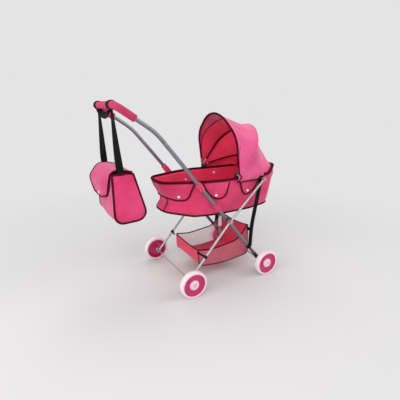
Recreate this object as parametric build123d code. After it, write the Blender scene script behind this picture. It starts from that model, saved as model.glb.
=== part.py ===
from build123d import *
import os
from math import atan2, cos, degrees, radians, sin, tan

# A doll's pram: folding X frame on four wheels, soft carrycot with a hood, basket and handle bag.
# X runs from the handle end to the head end, Y across, Z up from the floor.
# Working positions are measured from the rear axle; the finished part is centred on its box.

# Wheels
WHEEL_D = 90.0
WHEEL_W = 18.0
TRACK = 310.0
WHEELBASE = 298.0
DISC_D = 75.0
DISC_W = 16.0
HUB_D = 18.0
HUB_IN = 10.2
HUB_OUT = 4.0
CAP_D = 32.0
AXLE_D = 5.0
PUSH_NUT_D = 12.0
SPACER_D = 9.0

# Frame
TUBE_D = 12.0
TUBE_WALL = 1.2
TUBE_INSET = 50.0
TUBE_TILT = 50.7
HANDLE_HEIGHT = 588.0
BEND_DROP = 72.0
HANDLE_TILT = 33.8
BEND_RADIUS = 180.0
CORNER_RADIUS = 22.0
GRIP_D = 21.0
GRIP_LENGTH = 62.0
PIVOT_REACH = 225.8
LEG_D = 8.0
LEG_INSET = 27.0
LEG_TOP_DROP = 10.5
LEG_TOP_TILT = 43.4
LEG_BEND_RADIUS = 60.0
EYE_D = 17.0
RIVET_D = 5.0
FITTING_D = 15.0

# Carrycot
COT_RIM_HEIGHT = 358.0
COT_DEPTH = 122.0
COT_WALL = 3.0
RIM_WIRE_D = 5.0
BINDING_D = 9.0
FOOT_REACH = 96.0
SHOULDER_REACH = 63.2
HEAD_REACH = 330.2
FOOT_DRAW_IN = 55.0
SHOULDER_PROUD = 11.0
HEAD_DRAW_IN = 7.0
FOOT_TAPER = 20.0
HEAD_TAPER = 12.0
SIDE_TAPER = 27.0
FOOT_RISE = 34.0
HEAD_RISE = 16.0
UNDERSIDE_REACH = 40.0
SHOULDER_RADIUS = 330.0
HEAD_RADIUS = 38.0
BOARD_THICK = 3.0
FLAP_THICK = 1.6
STUD_D = 9.0
STUD_HIGH = 2.2
STUD_ROUND = 1.4
LOOP_THICK = 1.6
LOOP_LENGTH = 22.0
LOOP_DROPS = (21.0, 90.0)
FLAP_SPANS = {"foot": (-86.0, -1.8, 52.0), "middle": (30.2, 116.2, 54.0), "head": (162.2, 240.2, 54.0)}
FLAP_STUD_RISE = 9.0
LINING_STUDS = ((63.2, 34.0), (191.2, 21.0))
SOCKET_D = 12.0

# Hood
HOOD_REACH = 148.2
HOOD_RISE = 12.0
BOW_D = 3.0
BOW_PITCH = 3.2
BOW_INSET = 3.6
BOW_BULGE = 2.0
BOW_SHOULDER = 124.0
BOW_PEAK = 228.0
BOW_SHOULDER_RADIUS = 80.0
BOW_PEAK_RADIUS = 108.0
REAR_BOW_BULGE = -14.0
REAR_BOW_SHOULDER = 104.0
REAR_BOW_PEAK = 218.0
REAR_BOW_PEAK_RADIUS = 60.0
FRONT_BOW_ANGLE = 97.0
MID_BOW_ANGLE = 52.0
REAR_BOW_ANGLE = 14.0
CANOPY_EDGE_ANGLE = 4.0
CANOPY_THICK = 1.2
CANOPY_EYE = 9.0
BRACKET_W = 20.0
BRACKET_THICK = 5.0

# Basket
BASKET_INSET = 20.0
BASKET_REAR_SET = 8.5
BASKET_FRONT_SET = 34.0
BASKET_FLOOR = 60.0
BASKET_SAG = 11.0
BASKET_REAR_TOP = 120.0
BASKET_RIM_LOW = 112.0
BASKET_FRONT_TOP = 174.0
TRAY_CORNER = 14.0
TRAY_SAG_RADIUS = 400.0
RIM_REAR_RADIUS = 120.0
RIM_FRONT_RADIUS = 60.0
BASKET_CLOTH = 2.0
NET_THICK = 1.2
NET_GAP = 8.0
NET_PITCH = 11.0
NET_BORDER = 7.0
PIPING_D = 4.0
STRAP_W = 14.0
STRAP_THICK = 1.6
STRAP_KNEE_RADIUS = 80.0

# Bag
BAG_INSET = 18.0
BAG_HANG = 182.0
BAG_HEIGHT = 144.0
BAG_FRONT_SET = 17.0
BAG_MOUTH = 60.0
BAG_BASE = 98.0
BAG_WALL = 2.5
BAG_CORNER = 24.0
BAG_FLAP_INSET = 8.0
BAG_FLAP_BULGE = 24.0
BAG_FLAP_DROP = 84.0
BAG_FLAP_CREST = 12.0
BAG_FLAP_ROUND = 30.0
BAG_STRAP_SET = 8.0
BAG_STRAP_INSET = 15.0
BAG_STRAP_W = 18.0
BAG_STRAP_THICK = 2.0
BAG_STRAP_BEND = 60.0

# Clearances
RUN = 0.05
SEAT = 0.1
SOFT = 0.3

# How far a cutting body reaches past what it cuts
CUT_ABOVE = 60.0

AXLE_Z = WHEEL_D / 2
WHEEL_Y = TRACK / 2
TUBE_Y = WHEEL_Y - TUBE_INSET
LEG_Y = WHEEL_Y - LEG_INSET
COT_FLOOR = COT_RIM_HEIGHT - COT_DEPTH
WALL_TOP = COT_RIM_HEIGHT - BINDING_D / 2 - SEAT
HOOD_Z = COT_RIM_HEIGHT + HOOD_RISE
BEND_HEIGHT = HANDLE_HEIGHT - BEND_DROP
BAG_TOP = HANDLE_HEIGHT - BAG_HANG
FOOT_HALF = TUBE_Y - FOOT_DRAW_IN
SHOULDER_HALF = TUBE_Y + SHOULDER_PROUD
HEAD_HALF = TUBE_Y - HEAD_DRAW_IN
BOW_HALF = SHOULDER_HALF - BOW_INSET
BASKET_HALF = TUBE_Y - BASKET_INSET
BAG_HALF = TUBE_Y - BAG_INSET
BAG_FLAP_HALF = BAG_HALF - BAG_FLAP_INSET
BAG_STRAP_HALF = BAG_HALF - BAG_STRAP_INSET
SIDES = {"near": -1, "far": 1}

tube_dir = Vector(-cos(radians(TUBE_TILT)), 0, sin(radians(TUBE_TILT)))


def front_axle_point(y):
    """Front axle centre at a distance across the pram."""
    return Vector(WHEELBASE, y, AXLE_Z)


def on_tube(reach, y):
    """Point on the straight front leg, by its distance from the front axle."""
    return front_axle_point(y) + tube_dir * reach


def tube_at_height(height, y):
    """Point on the straight front leg at a height above the floor."""
    return on_tube((height - AXLE_Z) / sin(radians(TUBE_TILT)), y)


bend = tube_at_height(BEND_HEIGHT, 0)
BAR_X = bend.X - (HANDLE_HEIGHT - BEND_HEIGHT) / tan(radians(HANDLE_TILT))
pivot = on_tube(PIVOT_REACH, 0)
leg_top_z = COT_RIM_HEIGHT - LEG_TOP_DROP
leg_top = Vector(pivot.X + (leg_top_z - pivot.Z) / tan(radians(LEG_TOP_TILT)), 0, leg_top_z)
leg_tilt = atan2(pivot.Z - AXLE_Z, pivot.X)

# Places along the pram: the cot and hood from the tube at the rim, the basket from legs and axle
rim_cross = tube_at_height(COT_RIM_HEIGHT, 0).X
FOOT_X = rim_cross - FOOT_REACH
SHOULDER_X = rim_cross + SHOULDER_REACH
HEAD_X = rim_cross + HEAD_REACH
HOOD_X = rim_cross + HOOD_REACH
BASKET_REAR_X = (BASKET_REAR_TOP - AXLE_Z) / tan(leg_tilt) - BASKET_REAR_SET
BASKET_FRONT_X = WHEELBASE - BASKET_FRONT_SET
BAG_FRONT_X = BAR_X - BAG_FRONT_SET
BAG_STRAP_X = BAR_X + BAG_STRAP_SET


def across(x, z, y0, y1, diameter):
    """Round bar along Y between two distances across the pram."""
    bar = Cylinder(diameter / 2, abs(y1 - y0), rotation=(90, 0, 0))
    return Pos(x, (y0 + y1) / 2, z) * bar


def both_sides(make):
    """Mirror pair of one solid made for the near side and for the far side."""
    return Compound(children=[make(side) for side in SIDES.values()])


def swept(points, radii, diameter, bore=0.0, close=False):
    """Round or hollow section swept along straight runs joined by arcs."""
    path = FilletPolyline(*points, radius=radii, close=close)
    section = Circle(diameter / 2)
    if bore > 0:
        section -= Circle(bore / 2)
    return sweep(Plane(origin=path @ 0, z_dir=path % 0) * section, path=path)


def profile_plate(sketch, y0, y1):
    """Sketch drawn in X and Z, made into a plate between two distances across the pram."""
    side_plane = Plane(origin=(0, y0, 0), x_dir=(1, 0, 0), z_dir=(0, -1, 0))
    return extrude(side_plane * sketch, amount=y0 - y1)


# Handle tube: one bent tube from front leg to front leg
tube_insert = 10.0
fitting_tail = 9.0
fitting_length = 36.0
foot_near = on_tube(tube_insert, -TUBE_Y)
foot_far = on_tube(tube_insert, TUBE_Y)
handle_points = [
    foot_near,
    Vector(bend.X, -TUBE_Y, BEND_HEIGHT),
    Vector(BAR_X, -TUBE_Y, HANDLE_HEIGHT),
    Vector(BAR_X, TUBE_Y, HANDLE_HEIGHT),
    Vector(bend.X, TUBE_Y, BEND_HEIGHT),
    foot_far,
]
handle_radii = [BEND_RADIUS, CORNER_RADIUS, CORNER_RADIUS, BEND_RADIUS]
handle_tube = swept(handle_points, handle_radii, TUBE_D, TUBE_D - 2 * TUBE_WALL)
handle_tube -= across(pivot.X, pivot.Z, -LEG_Y, LEG_Y, RIVET_D + 2 * RUN)

# Foam grip over the bar, its corners and the start of both sides
grip_dir = Vector(cos(radians(HANDLE_TILT)), 0, -sin(radians(HANDLE_TILT)))
corner = Vector(BAR_X, 0, HANDLE_HEIGHT)
grip_end = corner + grip_dir * GRIP_LENGTH
grip_points = [
    grip_end + Vector(0, -TUBE_Y, 0),
    corner + Vector(0, -TUBE_Y, 0),
    corner + Vector(0, TUBE_Y, 0),
    grip_end + Vector(0, TUBE_Y, 0),
]
foam_grip = swept(grip_points, [CORNER_RADIUS] * 2, GRIP_D, TUBE_D + 2 * SEAT)


def front_fitting(side):
    """Moulded end on a front leg: a socket for the tube and a cross hole for the axle."""
    base = on_tube(-fitting_tail, side * TUBE_Y)
    seat = Plane(origin=base, z_dir=tube_dir)
    low = (Align.CENTER, Align.CENTER, Align.MIN)
    body = seat * Cylinder(FITTING_D / 2, fitting_length, align=low)
    body = fillet(body.edges().sort_by(Axis.Z)[0], 2.0)
    depth = fitting_tail + tube_insert - SEAT
    socket = seat * Pos(0, 0, depth) * Cylinder(TUBE_D / 2 + SEAT, fitting_length, align=low)
    return body - socket - across(WHEELBASE, AXLE_Z, -WHEEL_Y, WHEEL_Y, AXLE_D + 2 * RUN)


front_fittings = both_sides(front_fitting)

# Axles, their spacers and the push nuts that keep the wheels on
axle_half = WHEEL_Y + HUB_OUT + 3.5
front_axle = across(WHEELBASE, AXLE_Z, -axle_half, axle_half, AXLE_D)
rear_axle = across(0, AXLE_Z, -axle_half, axle_half, AXLE_D)


def axle_sleeve(x, side, y0, y1, diameter):
    """Ring round an axle between two distances from the middle."""
    ring = across(x, AXLE_Z, side * y0, side * y1, diameter)
    return ring - across(x, AXLE_Z, side * y0, side * y1, AXLE_D + 2 * RUN)


hub_face = WHEEL_Y - HUB_IN - SOFT
nut_face = WHEEL_Y + HUB_OUT + SOFT
nut_thick = 1.2
fitting_face = TUBE_Y + FITTING_D / 2 + SEAT
leg_face = LEG_Y + LEG_D / 2 + SEAT
front_spacers = both_sides(lambda s: axle_sleeve(WHEELBASE, s, fitting_face, hub_face, SPACER_D))
rear_spacers = both_sides(lambda s: axle_sleeve(0, s, leg_face, hub_face, SPACER_D))
front_push_nuts = both_sides(
    lambda s: axle_sleeve(WHEELBASE, s, nut_face, nut_face + nut_thick, PUSH_NUT_D)
)
rear_push_nuts = both_sides(lambda s: axle_sleeve(0, s, nut_face, nut_face + nut_thick, PUSH_NUT_D))


def turned(outline):
    """Solid of revolution from an outline of distances along the axle and radii."""
    return revolve(make_face(Polyline(*outline, close=True)), axis=Axis.X)


def wheel_disc():
    """Dished plastic disc with rim, hub and a raised ring, outer face towards +X."""
    web = 3.0
    rim_r = DISC_D / 2
    rim_in = rim_r - 4.0
    bore = AXLE_D / 2 + RUN
    dish_r = (rim_in + CAP_D / 2) / 2
    dish = HUB_OUT - 2.0
    outline = [
        (HUB_OUT, bore),
        (HUB_OUT, CAP_D / 2),
        (dish, dish_r),
        (HUB_OUT + 1.0, rim_in),
        (DISC_W / 2, rim_in + 0.8),
        (DISC_W / 2, rim_r),
        (-DISC_W / 2, rim_r),
        (-DISC_W / 2, rim_in + 0.8),
        (HUB_OUT + 1.0 - web, rim_in),
        (dish - web, dish_r),
        (HUB_OUT - web, CAP_D / 2),
        (HUB_OUT - web, HUB_D / 2),
        (-HUB_IN, HUB_D / 2),
        (-HUB_IN, bore),
    ]
    return turned(outline)


def wheel_tyre():
    """Smooth foam tyre with rounded shoulders."""
    inner = DISC_D / 2 + RUN
    outer = WHEEL_D / 2
    section = Pos(0, (inner + outer) / 2) * Rectangle(WHEEL_W, outer - inner)
    section = fillet(section.vertices().group_by(Axis.Y)[-1], 3.0)
    return revolve(section, axis=Axis.X)


def wheel_cap():
    """Domed hub cap with a dished middle, hollow over the axle end."""
    skirt = CAP_D / 2
    base = HUB_OUT + SEAT
    top = WHEEL_W / 2 + 2.0
    outline = [
        (base, skirt - 3.0),
        (base, skirt),
        (top - 3.0, skirt),
        (top - 0.6, skirt - 3.0),
        (top, skirt - 6.0),
        (top, skirt - 8.0),
        (top - 0.8, skirt - 9.2),
        (top - 0.8, 0),
        (top - 2.4, 0),
        (top - 2.4, skirt - 8.0),
        (top - 3.4, skirt - 3.0),
    ]
    return turned(outline)


def place_wheel(piece, x, side):
    """Piece made along +X, put on an axle with its outer face outwards."""
    return Pos(x, side * WHEEL_Y, AXLE_Z) * Rot(0, 0, 90 * side) * piece


wheels = {}
for axle_name, axle_x in {"front": WHEELBASE, "rear": 0.0}.items():
    for side_name, side in SIDES.items():
        place = f"{axle_name}_{side_name}"
        wheels[f"{place}_tyre"] = place_wheel(wheel_tyre(), axle_x, side)
        wheels[f"{place}_disc"] = place_wheel(wheel_disc(), axle_x, side)
        wheels[f"{place}_cap"] = place_wheel(wheel_cap(), axle_x, side)


# Rear legs: bent rods with flattened eyes at the axle, the cross pivot and the top
def rear_leg(side):
    """One rear leg with its three eyes."""
    y = side * LEG_Y
    points = [Vector(0, y, AXLE_Z), Vector(pivot.X, y, pivot.Z), Vector(leg_top.X, y, leg_top.Z)]
    rod = swept(points, [LEG_BEND_RADIUS], LEG_D)
    flat = LEG_D / 2 - 0.4
    y0, y1 = y - flat, y + flat
    for x, z, eye in ((0, AXLE_Z, 0.85), (pivot.X, pivot.Z, 1.0), (leg_top.X, leg_top.Z, 0.8)):
        rod += across(x, z, y0, y1, eye * EYE_D)
    for x, z in ((0, AXLE_Z), (pivot.X, pivot.Z), (leg_top.X, leg_top.Z)):
        rod -= across(x, z, y - LEG_D, y + LEG_D, AXLE_D + 2 * RUN)
    return rod


near_rear_leg = rear_leg(-1)
far_rear_leg = rear_leg(1)


def rivet(side, x, z, y_head, y_grip, y_end, y_tail, head_d):
    """Rivet along Y: a head from y_head to y_grip, a shank, and a head from y_end to y_tail."""
    shank = across(x, z, side * y_grip, side * y_end, RIVET_D)
    inner = across(x, z, side * y_head, side * y_grip, head_d)
    return shank + inner + across(x, z, side * y_end, side * y_tail, head_d)


rivet_head = 2.0
tube_in = TUBE_Y - TUBE_D / 2 - SEAT
tube_out = TUBE_Y + TUBE_D / 2 + SEAT
leg_in = LEG_Y - LEG_D / 2
leg_out = LEG_Y + LEG_D / 2
pivot_rivets = both_sides(
    lambda s: rivet(s, pivot.X, pivot.Z, tube_in - rivet_head, tube_in,
                    leg_out + SOFT, leg_out + SOFT + rivet_head, 0.8 * EYE_D)
)


def pivot_spacer(side):
    """Bush that keeps a leg clear of the tube and of the cot."""
    ring = across(pivot.X, pivot.Z, side * tube_out, side * (leg_in - SOFT), 0.8 * EYE_D)
    return ring - across(pivot.X, pivot.Z, side * tube_in, side * leg_out, RIVET_D + 2 * RUN)


pivot_spacers = both_sides(pivot_spacer)


def top_rivet(side):
    """Rivet at a leg's top: domed head outside, shank end flush inside the eye."""
    x, z = leg_top.X, leg_top.Z
    shank = across(x, z, side * leg_in, side * (leg_out + SEAT), RIVET_D)
    return shank + across(x, z, side * (leg_out + SEAT), side * (leg_out + rivet_head), 0.6 * EYE_D)


leg_top_rivets = both_sides(top_rivet)


# Carrycot
def cot_outline(height, grow=0.0):
    """Plan outline of the cot at a height: round foot, swelling sides, squarer head."""
    share = (COT_RIM_HEIGHT - height) / COT_DEPTH
    foot = FOOT_X + FOOT_TAPER * share
    head = HEAD_X - HEAD_TAPER * share
    foot_half = FOOT_HALF - 0.5 * SIDE_TAPER * share
    shoulder = SHOULDER_HALF - SIDE_TAPER * share
    head_half = HEAD_HALF - 0.6 * SIDE_TAPER * share
    points = [
        Vector(foot, foot_half, height),
        Vector(SHOULDER_X, shoulder, height),
        Vector(head, head_half, height),
        Vector(head, -head_half, height),
        Vector(SHOULDER_X, -shoulder, height),
        Vector(foot, -foot_half, height),
    ]
    foot_round = 0.95 * foot_half
    radii = [foot_round, SHOULDER_RADIUS, HEAD_RADIUS, HEAD_RADIUS, SHOULDER_RADIUS, foot_round]
    face = make_face(FilletPolyline(*points, radius=radii, close=True))
    return offset(face, amount=grow) if grow else face


def cot_solid(low, high, grow=0.0):
    """Closed tapering body of the cot between two heights."""
    return loft([cot_outline(low, grow), cot_outline(high, grow)])


def above_underside(lift):
    """Room above the cot's underside, which rises towards the foot and a little at the head."""
    foot_end, head_end = FOOT_X - UNDERSIDE_REACH, HEAD_X + UNDERSIDE_REACH
    ceiling = COT_RIM_HEIGHT + CUT_ABOVE
    line = [
        (foot_end, COT_FLOOR + FOOT_RISE + lift),
        (FOOT_X + 0.65 * (SHOULDER_X - FOOT_X), COT_FLOOR + lift),
        (HEAD_X - 0.4 * (HEAD_X - SHOULDER_X), COT_FLOOR + lift),
        (head_end, COT_FLOOR + HEAD_RISE + lift),
        (head_end, ceiling),
        (foot_end, ceiling),
    ]
    return profile_plate(make_face(Polyline(*line, close=True)), -WHEEL_Y, WHEEL_Y)


cot_outer = cot_solid(COT_FLOOR, WALL_TOP) & above_underside(0)
cot_cavity = cot_solid(COT_FLOOR + COT_WALL, WALL_TOP + 1.0, -COT_WALL) & above_underside(COT_WALL)
cot_body = cot_outer - cot_cavity

rim_path = cot_outline(COT_RIM_HEIGHT).face().outer_wire()
rim_plane = Plane(origin=rim_path @ 0, z_dir=rim_path % 0)
cot_rim_wire = sweep(rim_plane * Circle(RIM_WIRE_D / 2), path=rim_path)
binding_section = Circle(BINDING_D / 2) - Circle(RIM_WIRE_D / 2 + SEAT)
cot_rim_binding = sweep(rim_plane * binding_section, path=rim_path)

board_z = COT_FLOOR + COT_WALL + SEAT
base_board = extrude(cot_outline(board_z, -COT_WALL - 1.0), amount=BOARD_THICK)
base_board &= above_underside(COT_WALL + SEAT)


def wall_point(x, z, side, solid=None):
    """Point and outward direction on the cot's outer side at a place along it and a height."""
    hits = (solid or cot_outer).find_intersection_points(Axis((x, 0, z), (0, side, 0)))
    return max(hits, key=lambda hit: side * hit[0].Y)


# Snap flaps: rounded tongues sewn under the rim, hanging on the cot's sides
flap_layer = cot_solid(COT_FLOOR, WALL_TOP, SOFT + FLAP_THICK) - cot_solid(
    COT_FLOOR - 1.0, WALL_TOP + 1.0, SOFT
)
flap_skin = cot_solid(COT_FLOOR, WALL_TOP, SOFT + FLAP_THICK)
FLAPS = {name: (rim_cross + a, rim_cross + b, drop) for name, (a, b, drop) in FLAP_SPANS.items()}


def flap_shape(start, end, drop):
    """Tongue in X and Z: straight at the rim, drawn in and rounded below."""
    top = WALL_TOP - 1.0
    low = WALL_TOP - drop
    inset = 0.17 * (end - start)
    points = [(start, top), (start + inset, low), (end - inset, low), (end, top)]
    tongue = make_face(Polyline(*points, close=True))
    corners = tongue.vertices().group_by(Axis.Y)[0]
    return fillet(corners, 0.3 * drop)


def side_flaps(side):
    """The three flaps of one side."""
    cut = [
        profile_plate(flap_shape(*size), side * 20.0, side * (SHOULDER_HALF + 10.0))
        for size in FLAPS.values()
    ]
    return {name: flap_layer & plate for name, plate in zip(FLAPS, cut)}


def stud_on(x, z, side, skin):
    """Domed press stud standing on a skin of the cot's side."""
    point, normal = wall_point(x, z, side, skin)
    seat = Plane(origin=point + normal * SEAT, z_dir=normal)
    low = (Align.CENTER, Align.CENTER, Align.MIN)
    stud = Cylinder(STUD_D / 2, STUD_HIGH, align=low)
    return seat * fillet(stud.edges().sort_by(Axis.Z)[-1], STUD_ROUND)


flaps = {}
for side_name, side in SIDES.items():
    for name, flap in side_flaps(side).items():
        flaps[f"{side_name}_{name}_flap"] = flap


stud_places = [
    ((start + end) / 2, WALL_TOP - drop + FLAP_STUD_RISE) for start, end, drop in FLAPS.values()
]
flap_studs = Compound(
    children=[stud_on(x, z, side, flap_skin) for side in SIDES.values() for x, z in stud_places]
)



def lining_stud(x, z, side):
    """Press stud on the inside of the cot's side, for a doll's cover."""
    point, normal = wall_point(x, z, side, cot_cavity)
    seat = Plane(origin=point - normal * SEAT, z_dir=-normal)
    low = (Align.CENTER, Align.CENTER, Align.MIN)
    stud = Cylinder(STUD_D / 2, STUD_HIGH, align=low)
    return seat * fillet(stud.edges().sort_by(Axis.Z)[-1], STUD_ROUND)


lining_studs = Compound(
    children=[
        lining_stud(rim_cross + reach, COT_RIM_HEIGHT - drop, side)
        for side in SIDES.values()
        for reach, drop in LINING_STUDS
    ]
)

# Cot loops: fabric sleeves on the front legs, with a tab to the cot's side
LOOP_HEIGHTS = [COT_RIM_HEIGHT - drop for drop in LOOP_DROPS]


def tube_sleeve(height, side, length, thick):
    """Sleeve of cloth round a front leg, centred at a height."""
    centre = tube_at_height(height, side * TUBE_Y)
    return Plane(origin=centre, z_dir=tube_dir) * Cylinder(TUBE_D / 2 + SEAT + thick, length)


def tube_bore(height, side, length):
    """Room for the tube through a sleeve."""
    centre = tube_at_height(height, side * TUBE_Y)
    return Plane(origin=centre, z_dir=tube_dir) * Cylinder(TUBE_D / 2 + SEAT, 2 * length)


def cot_loop(height, side):
    """One sleeve and its tab, which stops just short of the cot's side."""
    centre = tube_at_height(height, side * TUBE_Y)
    wall, normal = wall_point(centre.X, height, side, flap_skin)
    reach = abs(centre.Y - wall.Y) - SOFT
    tab = Box(2 * LOOP_THICK, reach, LOOP_LENGTH)
    tab_place = Vector(centre.X, centre.Y - side * reach / 2, height)
    tab = Plane(origin=tab_place, x_dir=(-tube_dir.Z, 0, tube_dir.X), z_dir=tube_dir) * tab
    sleeve = tube_sleeve(height, side, LOOP_LENGTH, LOOP_THICK)
    loop = sleeve + tab - tube_bore(height, side, LOOP_LENGTH)
    return loop - flap_skin


tube_loops = Compound(
    children=[cot_loop(height, side) for side in SIDES.values() for height in LOOP_HEIGHTS]
)


def leg_socket(side):
    """Moulded stand-off on the cot's side that carries a leg's top."""
    wall, normal = wall_point(leg_top.X, leg_top.Z, side, flap_skin)
    start = abs(wall.Y) - COT_WALL
    stub = across(leg_top.X, leg_top.Z, side * start, side * (leg_in - SOFT), SOCKET_D)
    return stub - cot_solid(COT_FLOOR, WALL_TOP + 6.0, SOFT + FLAP_THICK)


leg_sockets = both_sides(leg_socket)

# Hood bows: bent wires on a common pivot, with an eye at each end
bows = {"rear": REAR_BOW_ANGLE, "mid": MID_BOW_ANGLE, "front": FRONT_BOW_ANGLE}


def arch_points(half, name):
    """Arch of a bow as distances across and radii from the hood's pivot line."""
    bulge, reach, peak = (BOW_BULGE, BOW_SHOULDER, BOW_PEAK)
    if name == "rear":
        bulge, reach, peak = (REAR_BOW_BULGE, REAR_BOW_SHOULDER, REAR_BOW_PEAK)
    shoulder = half + bulge
    return [(-half, 0), (-shoulder, reach), (0, peak), (shoulder, reach), (half, 0)]


def arch_radii(name):
    """Bend radii of a bow: shoulder, top, shoulder. The rear bow is the rounder one."""
    top = REAR_BOW_PEAK_RADIUS if name == "rear" else BOW_PEAK_RADIUS
    return [BOW_SHOULDER_RADIUS, top, BOW_SHOULDER_RADIUS]


def hood_place(y, radius, angle):
    """Point at a distance across and a radius, at an angle about the hood's pivot line."""
    turn = radians(angle)
    return Vector(HOOD_X + radius * cos(turn), y, HOOD_Z + radius * sin(turn))


def hood_bow(layer, name):
    """One bow; each layer stands further out, so that the bows fold past each other."""
    half = BOW_HALF + layer * BOW_PITCH
    points = [hood_place(y, radius, bows[name]) for y, radius in arch_points(half, name)]
    bow = swept(points, arch_radii(name), BOW_D)
    for side in SIDES.values():
        bow += across(HOOD_X, HOOD_Z, side * (half - BOW_D / 2), side * (half + BOW_D / 2), 3 * BOW_D)
    return bow - across(HOOD_X, HOOD_Z, -half - BOW_D, half + BOW_D, BOW_D + 2 * RUN)


hood_bows = {f"hood_{name}_bow": hood_bow(layer, name) for layer, name in enumerate(bows)}

bow_draw_in = -REAR_BOW_BULGE * BRACKET_W / 2 / REAR_BOW_SHOULDER
bracket_out = BOW_HALF - bow_draw_in - BOW_D / 2 - SOFT
bracket_low = COT_RIM_HEIGHT + BINDING_D / 2 + SEAT


def hood_bracket(side):
    """Small moulded plate on the rim that carries the hood's pivot."""
    height = HOOD_Z + 2 * BOW_D - bracket_low
    plate = Box(BRACKET_W, BRACKET_THICK, height, align=(Align.CENTER, Align.CENTER, Align.MIN))
    plate = fillet(plate.edges().filter_by(Axis.Y).group_by(Axis.Z)[-1], BRACKET_W / 4)
    plate = Pos(HOOD_X, side * (bracket_out - BRACKET_THICK / 2), bracket_low) * plate
    return plate - across(HOOD_X, HOOD_Z, -LEG_Y, LEG_Y, BOW_D + 2 * RUN)


hood_brackets = both_sides(hood_bracket)
bow_out = BOW_HALF + 2 * BOW_PITCH + BOW_D / 2 + SOFT


def hood_rivet(side):
    """Rivet through a bracket and the eyes of the three bows."""
    inner = bracket_out - BRACKET_THICK - SEAT
    shank = across(HOOD_X, HOOD_Z, side * inner, side * bow_out, BOW_D)
    shank += across(HOOD_X, HOOD_Z, side * (inner - 1.0), side * inner, 2.4 * BOW_D)
    return shank + across(HOOD_X, HOOD_Z, side * bow_out, side * (bow_out + 1.0), 2.4 * BOW_D)


hood_rivets = both_sides(hood_rivet)


def canopy_section(angle, name):
    """Cut through the canopy's cloth at an angle about the hood's pivot line, over one bow's arch."""
    half = BOW_HALF + 2 * BOW_PITCH
    gap = BOW_D / 2 + SOFT
    arch = FilletPolyline(*arch_points(half, name), radius=arch_radii(name))
    dome = make_face(arch + Line(arch @ 1, arch @ 0))
    skin = offset(dome, amount=gap + CANOPY_THICK) - offset(dome, amount=gap)
    span = 2 * BOW_PEAK
    skin &= Pos(0, CANOPY_EYE + span / 2) * Rectangle(span, span)
    spread = Plane(
        origin=(HOOD_X, 0, HOOD_Z),
        x_dir=(0, 1, 0),
        z_dir=(sin(radians(angle)), 0, -cos(radians(angle))),
    )
    return spread * skin


# Canopy: cloth drawn straight from bow to bow, and from the rear bow to the skirt's hem
seam = degrees(SOFT / BOW_PEAK)
hood_front_gore = loft(
    [canopy_section(MID_BOW_ANGLE + seam, "mid"), canopy_section(FRONT_BOW_ANGLE, "front")], ruled=True
)
hood_rear_gore = loft(
    [
        canopy_section(CANOPY_EDGE_ANGLE, "rear"),
        canopy_section(REAR_BOW_ANGLE, "rear"),
        canopy_section(MID_BOW_ANGLE - seam, "mid"),
    ],
    ruled=True,
)

# Basket: a cloth tray with net sides, hung from the legs and the hanger straps
basket_length = BASKET_FRONT_X - BASKET_REAR_X
basket_mid = (BASKET_REAR_X + BASKET_FRONT_X) / 2
tray_line = [
    (BASKET_REAR_X, BASKET_REAR_TOP),
    (BASKET_REAR_X + 2.0, BASKET_FLOOR),
    (basket_mid, BASKET_FLOOR - BASKET_SAG),
    (BASKET_FRONT_X + 4.0, BASKET_FLOOR),
    (BASKET_FRONT_X, BASKET_FRONT_TOP),
]
tray_path = FilletPolyline(*tray_line, radius=[TRAY_CORNER, TRAY_SAG_RADIUS, TRAY_CORNER])
tray_half = BASKET_HALF - NET_THICK / 2 - PIPING_D / 2 - SOFT
basket_tray = profile_plate(trace(tray_path, BASKET_CLOTH), -tray_half, tray_half)

rim_line = [
    (BASKET_REAR_X, BASKET_REAR_TOP),
    (BASKET_REAR_X + 0.25 * basket_length, BASKET_RIM_LOW),
    (BASKET_REAR_X + 0.78 * basket_length, BASKET_RIM_LOW + 12.0),
    (BASKET_FRONT_X, BASKET_FRONT_TOP),
]
rim_radii = [RIM_REAR_RADIUS, RIM_FRONT_RADIUS]
rim_curve = FilletPolyline(*rim_line, radius=rim_radii)
floor_curve = FilletPolyline(*tray_line[1:4], radius=[TRAY_SAG_RADIUS])
ends = Polyline(tray_line[0], tray_line[1]) + Polyline(tray_line[3], tray_line[4])
net_face = make_face(Curve() + rim_curve.edges() + floor_curve.edges() + ends.edges())
net_face = offset(net_face, amount=-PIPING_D / 2 - SOFT)


def basket_net(side):
    """Side net: a plain border round a field of square gaps."""
    field = offset(net_face, amount=-NET_BORDER)
    box = field.bounding_box()
    count_x = int(box.size.X / NET_PITCH) + 1
    count_z = int(box.size.Y / NET_PITCH) + 1
    grid = GridLocations(NET_PITCH, NET_PITCH, count_x, count_z)
    middle = Pos(box.center().X, box.center().Y)
    holed = net_face
    for spot in grid:
        gap = middle * spot * Rectangle(NET_GAP, NET_GAP)
        if all(field.face().is_inside(corner) for corner in gap.vertices()):
            holed -= gap
    outer = side * BASKET_HALF
    return profile_plate(holed, outer, outer - side * NET_THICK)


near_basket_net = basket_net(-1)
far_basket_net = basket_net(1)


def rim_piping(side):
    """Corded edge sewn along a net's top."""
    y = side * (BASKET_HALF - NET_THICK / 2)
    points = [Vector(x, y, z) for x, z in rim_line]
    return swept(points, rim_radii, PIPING_D)


basket_rim_piping = both_sides(rim_piping)
piping_out = BASKET_HALF - NET_THICK / 2 + PIPING_D / 2


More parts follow.
